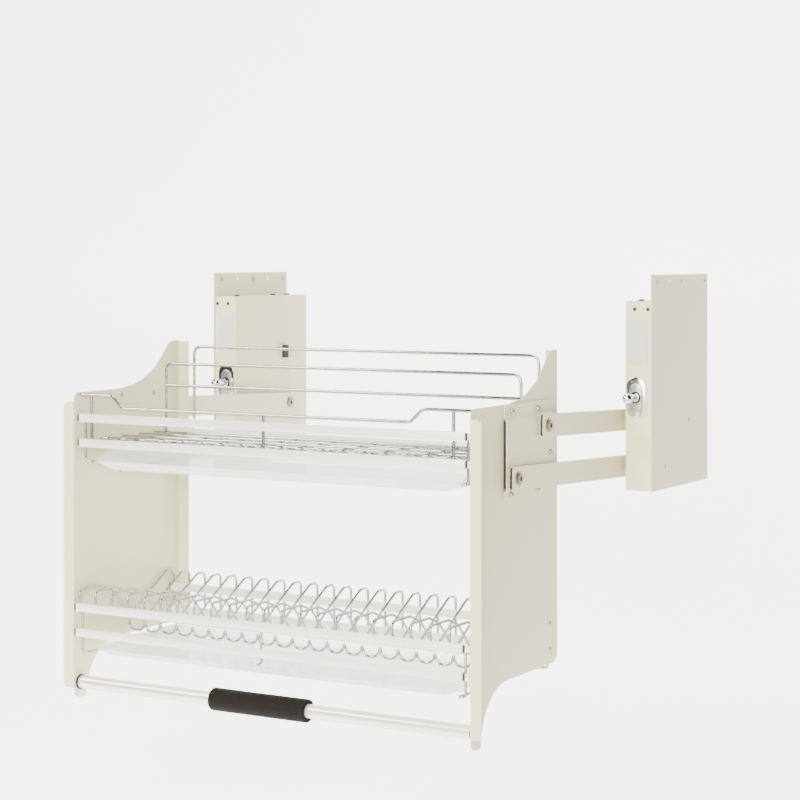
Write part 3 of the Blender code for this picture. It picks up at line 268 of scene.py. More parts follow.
def baked(obj):
    """The evaluated mesh of a helper object, which is then removed."""
    bpy.context.view_layer.update()
    mesh = bpy.data.meshes.new_from_object(obj.evaluated_get(bpy.context.evaluated_depsgraph_get()))
    mesh.transform(obj.matrix_world)
    bpy.data.objects.remove(obj)
    return mesh


def together(meshes):
    """Several meshes as one."""
    shape = bmesh.new()
    for mesh in meshes:
        shape.from_mesh(mesh)
    mesh = bpy.data.meshes.new("together")
    shape.to_mesh(mesh)
    shape.free()
    return mesh


def turned(profile, place, axis, steps):
    """A lathe-turned solid: (radius, distance) points along an axis from a place."""
    shape = bmesh.new()
    points = [shape.verts.new((radius, 0, along)) for radius, along in profile]
    edges = [shape.edges.new(pair) for pair in zip(points, points[1:])]
    bmesh.ops.spin(shape, geom=points + edges, axis=(0, 0, 1), cent=(0, 0, 0), angle=2 * math.pi,
                   steps=steps)
    turn = Vector(axis).to_track_quat("Z", "Y").to_matrix().to_4x4()
    bmesh.ops.transform(shape, matrix=Matrix.Translation(place) @ turn, verts=shape.verts)
    return to_mesh(shape)


def eased_corner(before, corner, after, reach, steps):
    """A curve past a corner that starts and ends at reach from it."""
    start = corner + (before - corner).normalized() * reach
    end = corner + (after - corner).normalized() * reach
    shares = [step / steps for step in range(steps + 1)]
    return [start.lerp(corner, share).lerp(corner.lerp(end, share), share) for share in shares]


def rounded_profile(profile, radius, steps=3):
    """A turned profile with its outer corners eased."""
    points = [Vector(point) for point in profile]
    result = points[:1]
    for before, corner, after in zip(points, points[1:], points[2:]):
        longest = 0.45 * min((before - corner).length, (after - corner).length)
        result += eased_corner(before, corner, after, min(radius, longest), steps)
    return result + points[-1:]


def bent(points, radius, steps=7):
    """Rounds the corners of a wire's path."""
    path = [Vector(point) for point in points]
    result = path[:1]
    for before, corner, after in zip(path, path[1:], path[2:]):
        back = before - corner
        ahead = after - corner
        half_turn = (math.pi - back.angle(ahead)) / 2
        reach = min(radius * math.tan(half_turn), back.length / 2, ahead.length / 2)
        result += eased_corner(before, corner, after, reach, steps)
    return result + path[-1:]


def path_curve(points, radius=0.0):
    """A poly curve along points, round if it has a radius."""
    curve = bpy.data.curves.new("path", "CURVE")
    curve.dimensions = "3D"
    curve.bevel_depth = radius
    curve.bevel_resolution = (WIRE_SIDES - 4) // 2
    curve.use_fill_caps = True
    spline = curve.splines.new("POLY")
    spline.points.add(len(points) - 1)
    for point, place in zip(spline.points, points):
        point.co = (*place, 1)
    return curve


def wire(points, radius=WIRE_RADIUS):
    """Round wire along points."""
    return closed_mesh(baked(placed(path_curve(points, radius))))


def block(corner, other, ease, segments=3):
    """A box between two opposite corners, its edges eased."""
    low = Vector(map(min, corner, other))
    high = Vector(map(max, corner, other))
    shape = bmesh.new()
    to_size = Matrix.Translation((low + high) / 2) @ Matrix.Diagonal((*(high - low), 1))
    bmesh.ops.create_cube(shape, size=1, matrix=to_size)
    bmesh.ops.bevel(shape, geom=shape.edges[:], offset=ease, segments=segments, profile=0.5, affect="EDGES")
    return to_mesh(shape)


def skinned(rings, closed=False):
    """A bmesh wall through rings of points, capped at its ends or closed on itself."""
    shape = bmesh.new()
    loops = [[shape.verts.new(point) for point in ring] for ring in rings]
    for loop, following in zip(loops, loops[1:] + (loops[:1] if closed else [])):
        for index in range(len(loop)):
            after = (index + 1) % len(loop)
            shape.faces.new((loop[index], loop[after], following[after], following[index]))
    if not closed:
        shape.faces.new(loops[0])
        shape.faces.new(reversed(loops[-1]))
    return shape


def fall_back(radius, past):
    """How far a round corner has fallen back at a distance past its start."""
    return radius - math.sqrt(radius ** 2 - min(max(past, 0.0), radius) ** 2)


def smooth(share):
    """Takes a share from 0 to 1 with a level start and end."""
    share = min(max(share, 0.0), 1.0)
    return share * share * (3 - 2 * share)


def geometry_tree(name, inputs):
    """An empty Geometry Nodes tree with named inputs."""
    tree = bpy.data.node_groups.new(name, "GeometryNodeTree")
    tree.interface.new_socket("Geometry", in_out="INPUT", socket_type="NodeSocketGeometry")
    for label, kind in inputs:
        tree.interface.new_socket(label, in_out="INPUT", socket_type=kind)
    tree.interface.new_socket("Geometry", in_out="OUTPUT", socket_type="NodeSocketGeometry")
    return tree


def grow(tree, kind, **links):
    """Adds a node to a tree; links are its inputs, by name, as sockets or values."""
    node = tree.nodes.new(kind)
    for key, value in links.items():
        socket = node.inputs[key.replace("_", " ")]
        if isinstance(value, bpy.types.NodeSocket):
            tree.links.new(value, socket)
        else:
            socket.default_value = value
    return node


def row_tree():
    """Repeats a bent wire at an even pitch along X and gives it its thickness."""
    tree = geometry_tree("row_of_wires", (("Count", "NodeSocketInt"), ("Pitch", "NodeSocketFloat"),
                                          ("Start", "NodeSocketFloat"), ("Radius", "NodeSocketFloat"),
                                          ("Finish", "NodeSocketMaterial")))
    given = grow(tree, "NodeGroupInput").outputs
    start = grow(tree, "ShaderNodeCombineXYZ", X=given["Start"]).outputs[0]
    step = grow(tree, "ShaderNodeCombineXYZ", X=given["Pitch"]).outputs[0]
    line = grow(tree, "GeometryNodeMeshLine", Count=given["Count"], Start_Location=start, Offset=step)
    copies = grow(tree, "GeometryNodeInstanceOnPoints", Points=line.outputs[0], Instance=given["Geometry"])
    real = grow(tree, "GeometryNodeRealizeInstances", Geometry=copies.outputs[0])
    ring = grow(tree, "GeometryNodeCurvePrimitiveCircle", Resolution=WIRE_SIDES, Radius=given["Radius"])
    solid = grow(tree, "GeometryNodeCurveToMesh", Curve=real.outputs[0], Profile_Curve=ring.outputs[0],
                 Fill_Caps=True)
    dressed = grow(tree, "GeometryNodeSetMaterial", Geometry=solid.outputs[0], Material=given["Finish"])
    grow(tree, "NodeGroupOutput", Geometry=dressed.outputs[0])
    return tree


def scatter_tree():
    """Sets a copy of one fastener at each point of a mesh."""
    tree = geometry_tree("fasteners", (("Fastener", "NodeSocketObject"), ("Finish", "NodeSocketMaterial")))
    given = grow(tree, "NodeGroupInput").outputs
    model = grow(tree, "GeometryNodeObjectInfo", Object=given["Fastener"])
    copies = grow(tree, "GeometryNodeInstanceOnPoints", Points=given["Geometry"],
                  Instance=model.outputs["Geometry"])
    real = grow(tree, "GeometryNodeRealizeInstances", Geometry=copies.outputs[0])
    dressed = grow(tree, "GeometryNodeSetMaterial", Geometry=real.outputs[0], Material=given["Finish"])
    grow(tree, "NodeGroupOutput", Geometry=dressed.outputs[0])
    return tree


def run_tree(data, tree, values):
    """Runs a Geometry Nodes tree on data and gives the plain mesh."""
    obj = placed(data)
    modifier = obj.modifiers.new("nodes", "NODES")
    modifier.node_group = tree
    sockets = {item.name: item.identifier for item in tree.interface.items_tree if item.in_out == "INPUT"}
    for label, value in values.items():
        modifier[sockets[label]] = value
    return baked(obj)


ROW = row_tree()
SCATTER = scatter_tree()

# Upper shelf
BEHIND_UPPER_BARS = -0.4712
BEHIND_LOWER_BARS = -0.4792
INSIDE_X = 0.3605
FLOOR_Z = 0.084
UNDER_FLOOR_Z = 0.0808
FLOOR_Y = (-0.452, -0.407, -0.362, -0.317, -0.275)
FLOOR_PITCH = 0.0746
FLOOR_COUNT = 9
WAVE_Y = -0.463
WAVE_RISE = 0.0052
WAVE_FLATTENING = 1.25
WAVE_STEPS = 8
RAIL_TOP = 0.158
RAIL_DIP = 0.1383
DIP_X = ((-0.2963, -0.2763), (0.2537, 0.2737))
POSTS = ((-0.3375, RAIL_TOP), (-0.006, RAIL_DIP), (0.3255, RAIL_TOP))
GUARD_X = 0.335
GUARD_TOP = 0.200
GUARD_ACROSS = 0.1635
GUARD_BEND = 0.014
REAR_GUARD_X = 0.3295
REAR_GUARD_Y = (-0.2395, -0.203)
REAR_GUARD_Z = (0.083, 0.226)
REAR_GUARD_BEND = 0.016


def wire_row(path, count, pitch, start):
    """One bent wire, repeated along X."""
    sizes = {"Count": count, "Pitch": pitch, "Start": start, "Radius": WIRE_RADIUS, "Finish": WIRE.material}
    return closed_mesh(run_tree(path_curve(path), ROW, sizes))


def wire_across(y, z):
    """Straight wire from one side plate to the other."""
    return wire([(-INSIDE_X, y, z), (INSIDE_X, y, z)])


def welded(name, paths, node, radius=WIRE_RADIUS):
    """A frame of wires that meet end to side, all of one finish."""
    finished(name, together([wire(path, radius) for path in paths]), "basket", WIRE, [node])


def upper_floor():
    """Five lengthwise wires over nine crosswise ones, and a shallow wave along the front."""
    front = BEHIND_UPPER_BARS - WIRE_RADIUS
    rear = box("bowl_rear_bar")[0].y - CLEARANCE
    crosswise = wire_row([(0, front, UNDER_FLOOR_Z), (0, rear, UNDER_FLOOR_Z)], FLOOR_COUNT, FLOOR_PITCH,
                         -(FLOOR_COUNT - 1) / 2 * FLOOR_PITCH)
    lengthwise = [wire_across(y, FLOOR_Z) for y in FLOOR_Y]
    wave = [(-INSIDE_X, WAVE_Y, FLOOR_Z)]
    for number in range(-FLOOR_COUNT * WAVE_STEPS, FLOOR_COUNT * WAVE_STEPS + 1):
        share = number / WAVE_STEPS
        rise = WAVE_RISE * min(1.0, WAVE_FLATTENING * (1 - math.cos(2 * math.pi * share)) / 2)
        wave.append((share * FLOOR_PITCH / 2, WAVE_Y, FLOOR_Z + rise))
    wave.append((INSIDE_X, WAVE_Y, FLOOR_Z))
    finished("upper_floor", together([crosswise, *lengthwise, wire(wave)]), "basket", WIRE, ["bowl_rack"])


def guards():
    """Front rail with its dip, high rear guard and the frame between them."""
    y = BEHIND_UPPER_BARS + FRAME_RADIUS - WIRE_RADIUS
    (left_top, left_low), (right_low, right_top) = DIP_X
    rail = [(-INSIDE_X, y, RAIL_TOP), (left_top, y, RAIL_TOP), (left_low, y, RAIL_DIP),
            (right_low, y, RAIL_DIP), (right_top, y, RAIL_TOP), (INSIDE_X, y, RAIL_TOP)]
    foot = UNDER_FLOOR_Z + WIRE_RADIUS
    posts = [[(x, y, foot), (x, y, height)] for x, height in POSTS]
    welded("front_rail", [bent(rail, GUARD_BEND), *posts], "bowl_front_rail", FRAME_RADIUS)
    near, far = REAR_GUARD_Y
    low, high = REAR_GUARD_Z
    back = [(-REAR_GUARD_X, near, low), (-REAR_GUARD_X, far, low), (-REAR_GUARD_X, far, high),
            (REAR_GUARD_X, far, high), (REAR_GUARD_X, far, low), (REAR_GUARD_X, near, low)]
    welded("rear_guard", [bent(back, REAR_GUARD_BEND)], "bowl_rear_guard", FRAME_RADIUS)
    floor = FLOOR_Z + WIRE_RADIUS
    y = FLOOR_Y[-1]
    hoop = [(-GUARD_X, y, floor), (-GUARD_X, y, GUARD_TOP), (GUARD_X, y, GUARD_TOP), (GUARD_X, y, floor)]
    across = [(-GUARD_X, y, GUARD_ACROSS), (GUARD_X, y, GUARD_ACROSS)]
    welded("middle_guard", [bent(hoop, GUARD_BEND), across], "bowl_mid_guard", FRAME_RADIUS)


# Comb of the lower shelf; its places are (y, z)
COMB_PITCH = 0.03235
COMB_FIRST = -11
COMB_COUNT = 22
COMB_TOP = -0.155
COMB_FRONT_FOOT = -0.187
COMB_REAR_FOOT = (-0.22545, -0.226)
COMB_CRESTS = (-0.424, -0.248)
COMB_BEND = 0.010
VALLEY = (-0.350, -0.214)
VALLEY_DIP = 0.002
FALL = ((0.39, 0.19), (0.72, 0.62))
RISE = ((0.30, 0.28), (0.58, 0.59))
UNDER_COMB = 0.0032
CRADLE_DROP = 0.0075
CRADLE_DEPTH = 0.017
CRADLE_FULLNESS = 2.6
CRADLE_STEPS = 16


def comb():
    """Upright wires, all alike, over the wire that joins their valleys."""
    valley_y, valley_z = VALLEY
    front_crest, rear_crest = COMB_CRESTS
    rear_y, rear_foot = COMB_REAR_FOOT
    path = [(BEHIND_LOWER_BARS, COMB_FRONT_FOOT), (BEHIND_LOWER_BARS, COMB_TOP), (front_crest, COMB_TOP)]
    path += [(front_crest + (valley_y - front_crest) * along, COMB_TOP + (valley_z - COMB_TOP) * down)
             for along, down in FALL]
    path += [(valley_y, valley_z - VALLEY_DIP)]
    path += [(valley_y + (rear_crest - valley_y) * along, valley_z + (COMB_TOP - valley_z) * up)
             for along, up in RISE]
    path += [(rear_crest, COMB_TOP), (rear_y, COMB_TOP), (rear_y, rear_foot)]
    uprights = wire_row(bent([(0, y, z) for y, z in path], COMB_BEND), COMB_COUNT, COMB_PITCH,
                        COMB_FIRST * COMB_PITCH)
    joined = together([uprights, wire_across(valley_y, valley_z - UNDER_COMB)])
    finished("comb", joined, "basket", WIRE, ["dish_rack"])


def cradle():
    """Scalloped wire that swings down between each two wires of the comb."""
    valley_y, valley_z = VALLEY
    points = []
    for number in range((COMB_COUNT - 1) * CRADLE_STEPS + 1):
        share = number / CRADLE_STEPS
        across = abs(2 * (share - math.floor(share)) - 1)
        down = CRADLE_DEPTH * math.sqrt(max(0.0, 1 - across ** CRADLE_FULLNESS))
        points.append(((COMB_FIRST + share) * COMB_PITCH, valley_y, valley_z - CRADLE_DROP - down))
    finished("cradle", wire(bent(points, 0.0012, 3)), "basket", WIRE, ["plate_cradle_wire"])


# Wires that carry the trays: level, front, top, rear, end
TRAY_RUNS = (("upper", BEHIND_UPPER_BARS, 0.12125, -0.23745, 0.0795),
             ("lower", BEHIND_LOWER_BARS, -0.182, -0.22545, -0.222))
RAIL_Z = {"upper": 0.051, "lower": -0.2535}
RUN_FRONT_X = 0.3495
RUN_RAIL_X = 0.338
RUN_REAR_X = {"left": 0.3495, "right": 0.3555}
RUN_BEND = 0.006
HANGER_X = -0.004
HANGER_Z = (-0.1755, -0.239)
HANGER_HOOK = 0.0115
HANGER_BEND = 0.005


def tray_runs():
    """The four bent wires that carry the trays, and the hanger at the middle."""
    for label, side in SIDES:
        front_x, rail_x, rear_x = (side * x for x in (RUN_FRONT_X, RUN_RAIL_X, RUN_REAR_X[label]))
        for level, front, top, rear, end in TRAY_RUNS:
            rail = RAIL_Z[level]
            path = [(front_x, front, top), (front_x, front, rail), (rail_x, front, rail),
                    (rail_x, rear, rail), (rear_x, rear, rail), (rear_x, rear, end)]
            welded(f"{label}_{level}_run", [bent(path, RUN_BEND)], f"{label}_{level}_tray_rail")
    y = BEHIND_LOWER_BARS
    top, low = HANGER_Z
    path = [(HANGER_X, y, top), (HANGER_X, y, low), (HANGER_X, y - HANGER_HOOK, low)]
    welded("hanger_hook", [bent(path, HANGER_BEND)], "middle_hanger")


# Handle; radii are (bore, outside)
HANDLE = Vector((0, -0.471, -0.304))
TUBE_RADII = (0.0093, 0.0105)
GRIP_RADII = (0.0108, 0.0175)
GRIP_EASE = 0.004
CAP_RADII = (0.0108, 0.012)
CAP_WALL = 0.001
CAP_EASE = 0.0005


def sleeve(radii, start, end):
    """Profile of a tube's wall from start to end, as turned() takes it."""
    bore, outside = radii
    return [(bore, start), (outside, start), (outside, end), (bore, end), (bore, start)]


def handle():
    """Satin tube with its foam grip and an end cap on each side plate."""
    low, high = box("handle_tube")
    tube = sleeve(TUBE_RADII, low.x, high.x)
    finished("handle_bar", turned(tube, HANDLE, (1, 0, 0), 64), "basket", TUBE, ["handle_tube"])
    low, high = box("handle_grip")
    grip = rounded_profile(sleeve(GRIP_RADII, low.x, high.x), GRIP_EASE, 5)
    finished("foam_grip", turned(grip, HANDLE, (1, 0, 0), 64), "basket", FOAM, ["handle_grip"], 60)
    bore, outside = CAP_RADII
    for label, side in SIDES:
        node = label + "_handle_cap"
        inner, outer = sorted(abs(corner.x) for corner in box(node))
        bottom = outer - CAP_WALL
        cap = [(0, outer), (outside, outer), (outside, inner), (bore, inner), (bore, bottom), (0, bottom)]
        mesh = turned(rounded_profile(cap, CAP_EASE), HANDLE, (side, 0, 0), 48)
        finished(label + "_end_cap", mesh, "basket", PLUG, [node], 50)


# Flat bars; insets are (along Y, along Z)
BARS = ("bowl_bar_top", "bowl_bar_bottom", "plate_bar_top", "plate_bar_bottom", "bowl_rear_bar",
        "plate_rear_bar_top", "plate_rear_bar_bottom")
BAR_END = 0.3567
RIGHT_BAR_END = 0.3485
TONGUE_START = 0.3521
PLUG_GAP = 0.0002
PLUG_INSET = (0.0008, 0.0012)
TONGUE_INSET = (0.0012, 0.0016)


def bar_part(node, start, end, inset, ease):
    """A length in line with a CAD bar, set in from the bar's faces."""
    low, high = box(node)
    y, z = inset
    return block((start, low.y + y, low.z + z), (end, high.y - y, high.z - z), ease)


def bars():
    """Flat bars with a black plug in each end; outside a front bar's right plug is a short tongue."""
    for node in BARS:
        front = "rear" not in node
        name = node.replace("bowl", "upper").replace("plate", "lower")
        ends = {"left": BAR_END, "right": RIGHT_BAR_END if front else BAR_END}
        body = bar_part(node, -ends["left"], ends["right"], (0, 0), 0.0006)
        finished(name + "_flat", body, "basket", BAR, [node])
        for label, side in SIDES:
            outside = TONGUE_START - PLUG_GAP if front and side > 0 else INSIDE_X
            plug = bar_part(node, side * (ends[label] + PLUG_GAP), side * outside, PLUG_INSET, 0.0008)
            finished(f"{name}_{label}_plug", plug, "basket", PLUG)
        if front:
            tongue = bar_part(node, TONGUE_START, INSIDE_X, TONGUE_INSET, 0.0006)
            finished(name + "_right_tongue", tongue, "basket", BAR)


# Bent side plates; a corner is its centre (y, z) and its radius
SHEET_X = 0.3608
SHEET = 0.0012
SHEET_FACE = SHEET_X + SHEET
SHEET_FRONT = -0.489
SHEET_REAR = -0.203
FRONT_TOP_CORNER = ((SHEET_FRONT + 0.015, 0.147), 0.015)
PEAK_CORNER = ((SHEET_REAR - 0.008, 0.229), 0.008)
TIP_CORNER = ((SHEET_FRONT + 0.018, -0.311), 0.018)
SCOOP = ((-0.372, -0.329), 0.084)
REAR_LOW_CORNER = ((SHEET_REAR - 0.020, -0.225), 0.020)
SWEEP_START = (-0.371, 0.162)
SWEEP_SIZE = (0.150, 0.075)
SWEEP = ((0, 0), (0.276, 0.07), (0.433, 0.18), (0.617, 0.37), (0.747, 0.59), (0.873, 0.85), (0.923, 0.95),
         (1.0, 1.0))
FOLD = 0.0026
FLANGE = 0.0196
REAR_FLANGE = 0.0198
FLANGE_CORNER = 0.008
FLANGE_COLUMNS = (0.0001, 0.0004, 0.0010, 0.0020, 0.0034, 0.005, 0.0065, FLANGE_CORNER, 0.012)


def arc(centre, radius, start, end, steps=10):
    """Points of an arc, angles in degrees."""
    points = []
    for step in range(steps + 1):
        angle = math.radians(start + (end - start) * step / steps)
        points.append((centre[0] + radius * math.cos(angle), centre[1] + radius * math.sin(angle)))
    return points


def top_edge():
    """Upper edge of a side plate, from front to rear: flat, swept peak, rounded corner."""
    edge = arc(*FRONT_TOP_CORNER, 180, 90)
    edge += [(SWEEP_START[0] + SWEEP_SIZE[0] * y, SWEEP_START[1] + SWEEP_SIZE[1] * z) for y, z in SWEEP]
    return edge + arc(*PEAK_CORNER, 90, 0)


def bottom_edge():
    """Lower edge, from front to rear: tip under the handle, scoop, long straight."""
    return arc(*TIP_CORNER, 180, 270) + arc(*SCOOP, 180, 90, 20) + arc(*REAR_LOW_CORNER, -90, 0)


def height_at(edge, y):
    """Height of an edge at a place along Y."""
    for (y0, z0), (y1, z1) in zip(edge, edge[1:]):
        if y0 <= y <= y1 and y1 > y0:
            return z0 + (z1 - z0) * (y - y0) / (y1 - y0)
    return edge[0][1] if y < edge[0][0] else edge[-1][1]


def sheet_columns():
    """Columns of the folded sheet: middle place and normal in plan, low end, high end."""
    middle = SHEET_X + SHEET / 2
    front = SHEET_FRONT + SHEET / 2
    rear = SHEET_REAR - SHEET / 2
    front_low = TIP_CORNER[0][1]
    front_high = FRONT_TOP_CORNER[0][1]
    fold_angles = [math.radians(degrees) for degrees in range(0, 91, 15)]
    columns = []
    for distance in FLANGE_COLUMNS:
        drop = fall_back(FLANGE_CORNER, FLANGE_CORNER - distance)
        columns.append((SHEET_X + FLANGE - distance, front, 0, -1, front_low + drop, front_high - drop))
    for angle in fold_angles:
        x, y = -math.sin(angle), -math.cos(angle)
        columns.append((middle + FOLD + FOLD * x, front + FOLD + FOLD * y, x, y, front_low, front_high))
    upper = top_edge()
    lower = bottom_edge()
    stops = {round(y, 6) for y, _ in upper + lower if front + FOLD < y < rear - FOLD}
    for y in sorted(stops):
        columns.append((middle, y, -1, 0, height_at(lower, y), height_at(upper, y)))
    rear_low = height_at(lower, rear - FOLD)
    rear_high = height_at(upper, rear - FOLD)
    for angle in fold_angles:
        x, y = -math.cos(angle), -math.sin(angle)
        columns.append((middle - FOLD - FOLD * x, rear - FOLD - FOLD * y, x, y, rear_low, rear_high))
    columns.append((SHEET_X - REAR_FLANGE, rear, 0, -1, rear_low, rear_high))
    return columns


def side_plates():
    """Folded sheets of even thickness; the front edge turns out and the rear edge in."""
    half = SHEET / 2
    for label, side in SIDES:
        rings = []
        for x, y, across, along, low, high in sheet_columns():
            rings.append([(side * (x + across * reach), y + along * reach, height)
                          for reach, height in ((half, low), (half, high), (-half, high), (-half, low))])
        finished(label + "_side", to_mesh(skinned(rings)), "basket", PAINT, [label + "_side_plate"], 40)


def plate(outline, near, far, ease=0.0004, to_world=None):
    """A flat plate: an outline in YZ pulled from near to far along X, edges eased."""
    shape = skinned([[(x, y, z) for y, z in outline] for x in (near, far)])
    bmesh.ops.recalc_face_normals(shape, faces=shape.faces)
    rims = [edge for edge in shape.edges if abs(edge.verts[0].co.x - edge.verts[1].co.x) < 1e-6]
    bmesh.ops.bevel(shape, geom=rims, offset=ease, segments=2, profile=0.5, affect="EDGES")
    if to_world:
        bmesh.ops.transform(shape, matrix=to_world, verts=shape.verts)
    return to_mesh(shape, 0.000005)


def round_ended(start, end, radius, steps=20):
    """Outline of a bar with round ends."""
    heading = math.degrees(math.atan2(end[1] - start[1], end[0] - start[0]))
    outline = arc(end, radius, heading - 90, heading + 90, steps)
    return outline + arc(start, radius, heading + 90, heading + 270, steps)


def soft_rectangle(low, high, radius, steps=8):
    """Outline of a rectangle with round corners."""
    (y0, z0), (y1, z1) = low, high
    outline = arc((y1 - radius, z0 + radius), radius, -90, 0, steps)
    outline += arc((y1 - radius, z1 - radius), radius, 0, 90, steps)
    outline += arc((y0 + radius, z1 - radius), radius, 90, 180, steps)
    return outline + arc((y0 + radius, z0 + radius), radius, 180, 270, steps)


# Arms and their bolts; turned sizes are a radius, or a radius and a height
ARM_LENGTH = 0.417
ARM_END = 0.019
ARM_TILT = math.radians(2.2)
PIVOTS = {"upper": (0.155, 0.108), "lower": (0.0546, 0.0364)}
ARM_IN = 0.3690
ARM_OUT = 0.3754
ARM_HALF = 0.0175
ARM_CORNER = 0.004
ARM_WALL = 0.0011
ARM_BORE = 0.0054
SHADE_BLOCK_GAP = 0.0013
SHADE_BLOCK_HALF = 0.0160
SHADE_BLOCK_ENDS = (ARM_LENGTH + ARM_END - 0.0006, ARM_LENGTH + 0.009)
SHANK = 0.005
BOLT_HEAD = (0.0080, 0.0038)
WASHER = (0.0105, 0.0012)
SPACER = 0.0085
SPACER_X = (0.3623, 0.3665)
SHAFT = 0.006
SHAFT_CAP = (0.0095, 0.0032)
SHAFT_SHOULDER = (0.008, 0.0065)
SHAFT_PIN = 0.0040
SHAFT_END = 0.4317
WALL_X = 0.4297
CRANK_ANGLE = math.radians(-55)
CRANK_THROW = 0.026
CRANK_X = (0.389, 0.395)
CRANK_HALF = 0.011
CRANK_PIN = (0.003, 0.018)


def basket_end(pivot):
    """The arm's far bolt when the rack is down."""
    return (pivot[0] - ARM_LENGTH * math.cos(ARM_TILT), pivot[1] + ARM_LENGTH * math.sin(ARM_TILT))


def on_arm(pivot, along, up):
    """The place in YZ of a point on an arm, from its pivot."""
    return Matrix.Rotation(-ARM_TILT, 2) @ Vector((along, up)) + Vector(pivot)


def flat_tube(side, pivot):
    """Thin-walled flat tube between an arm's two bolts, open at its ends, with small corner radii."""
    heights = [ARM_HALF, ARM_HALF - 0.0004, ARM_HALF - 0.0014, ARM_HALF - ARM_CORNER]
    heights += [-height for height in reversed(heights)]
    rings = []
    for end, inset in ((-1, 0), (1, 0), (1, ARM_WALL), (-1, ARM_WALL)):
        ring = []
        for x, line in ((ARM_IN + inset, heights), (ARM_OUT - inset, heights[::-1])):
            for height in line:
                drop = fall_back(ARM_CORNER, abs(height) - ARM_HALF + ARM_CORNER)
                reach = ARM_END - drop if end > 0 else -ARM_LENGTH - ARM_END + drop
                ring.append((side * x, *on_arm(pivot, reach, height * (ARM_HALF - inset) / ARM_HALF)))
        rings.append(ring)
    holes = [(ARM_BORE, 0.02, (side * ARM_IN, *place), (1, 0, 0)) for place in (pivot, basket_end(pivot))]
    return drilled(to_mesh(skinned(rings, closed=True), 0.000005), holes)


def arms():
    """Flat arms that carry the basket, with a black block in each open front end as painted shade in that
    hollow.
    """
    far, near = SHADE_BLOCK_ENDS
    outline = soft_rectangle((-far, -SHADE_BLOCK_HALF), (-near, SHADE_BLOCK_HALF), 0.003)
    for label, side in SIDES:
        for level, pivot in PIVOTS.items():
            body = f"{label}_{level}_arm"
            finished(f"{label}_{level}_bar", flat_tube(side, pivot), body, PAINT, [body], 30)
            # Painted shade: a black block inside the open front end stands for the shade in that hollow
            points = [tuple(on_arm(pivot, *point)) for point in outline]
            shade_block = plate(points, side * (ARM_IN + SHADE_BLOCK_GAP), side * (ARM_OUT - SHADE_BLOCK_GAP), 0.0003)
            finished(f"{label}_{level}_insert", shade_block, body, PLUG)


def headed(rings, to_world=Matrix(), steps=48):
    """A turned solid along Z with some rings hexagonal: (radius, distance, hexagonal)."""
    loops = []
    for radius, along, hexagonal in rings:
        loop = []
        for step in range(steps):
            angle = 2 * math.pi * step / steps
            reach = radius
            if hexagonal:
                reach *= math.cos(math.pi / 6) / math.cos(angle % (math.pi / 3) - math.pi / 6)
            loop.append(to_world @ Vector((reach * math.cos(angle), reach * math.sin(angle), along)))
        loops.append(loop)
    return to_mesh(skinned(loops), 0.000005)


def outwards(side, place):
    """Takes Z to the outside of a side, with the axis at a place in YZ."""
    y, z = place
    return Matrix(((0, 0, side, 0), (1, 0, 0, y), (0, 1, 0, z), (0, 0, 0, 1)))


def socket_head(radius, rim, face, inward):
    """Rings of a bolt head's edge, face and hexagon socket."""
    rings = ((radius, 0.0006, 0), (radius - 0.0004, 0.0001, 0), (rim, 0, 0), (0.0046, 0, 0), (0.0044, 0, 1),
             (0.0041, 0.0003, 1), (0.0041, 0.0022, 1), (0.0030, 0.0026, 0))
    return [(reach, face + inward * depth, hexagonal) for reach, depth, hexagonal in rings]


def bolts():
    """Pivot bolts at the basket's end of the arms and shafts at the other."""
    arm_face = ARM_OUT + CLEARANCE
    near, far = SPACER_X
    washer, thickness = WASHER
    top = arm_face + thickness
    head, height = BOLT_HEAD
    bolt = [(SPACER, near, 0), (SPACER, far, 0), (SHANK, far, 0), (SHANK, arm_face, 0), (washer, arm_face, 0),
            (washer, top - 0.0003, 0), (washer - 0.0003, top, 0), (head, top, 0)]
    bolt += socket_head(head, 0.0072, arm_face + height, -1)
    inner_face = ARM_IN - CLEARANCE
    collar, length = SHAFT_SHOULDER
    shoulder = arm_face + length
    cap, height = SHAFT_CAP
    shaft = [(SHAFT_PIN, SHAFT_END, 0), (SHAFT_PIN, WALL_X, 0), (SHAFT, WALL_X, 0), (SHAFT, shoulder, 0),
             (collar, shoulder, 0), (collar, arm_face, 0), (SHANK, arm_face, 0), (SHANK, inner_face, 0),
             (cap, inner_face, 0)]
    shaft += socket_head(cap, 0.0086, inner_face - height, 1)
    for label, side in SIDES:
        for level, pivot in PIVOTS.items():
            arm = f"{label}_{level}"
            finished(arm + "_bolt", headed(bolt, outwards(side, basket_end(pivot))), "basket", BOLT,
                     [arm + "_pivot_bolt"], 30)
            meshes = [headed(shaft, outwards(side, pivot))]
            node = f"{label}_lower_shaft"
            if level == "upper":
                node = f"{label}_crank_shaft"
                pin = (pivot[0] + CRANK_THROW * math.cos(CRANK_ANGLE),
                       pivot[1] + CRANK_THROW * math.sin(CRANK_ANGLE))
                near, far = (side * x for x in CRANK_X)
                meshes.append(plate(round_ended(pivot, pin, CRANK_HALF), near, far))
                radius, length = CRANK_PIN
                meshes.append(turned([(0, 0), (radius, 0), (radius, length), (0, length)], (far, *pin),
                                     (side, 0, 0), 24))
            finished(arm + "_pin", together(meshes), arm + "_arm", BOLT, [node], 30)


def solidified(shape, thickness):
    """Thickens an open bmesh inwards and closes its rim."""
    bmesh.ops.recalc_face_normals(shape, faces=shape.faces)
    mesh = bpy.data.meshes.new("shell")
    shape.to_mesh(mesh)
    shape.free()
    obj = placed(mesh)
    skin = obj.modifiers.new("thickness", "SOLIDIFY")
    skin.thickness = thickness
    skin.offset = -1
    skin.use_even_offset = True
    return baked(obj)


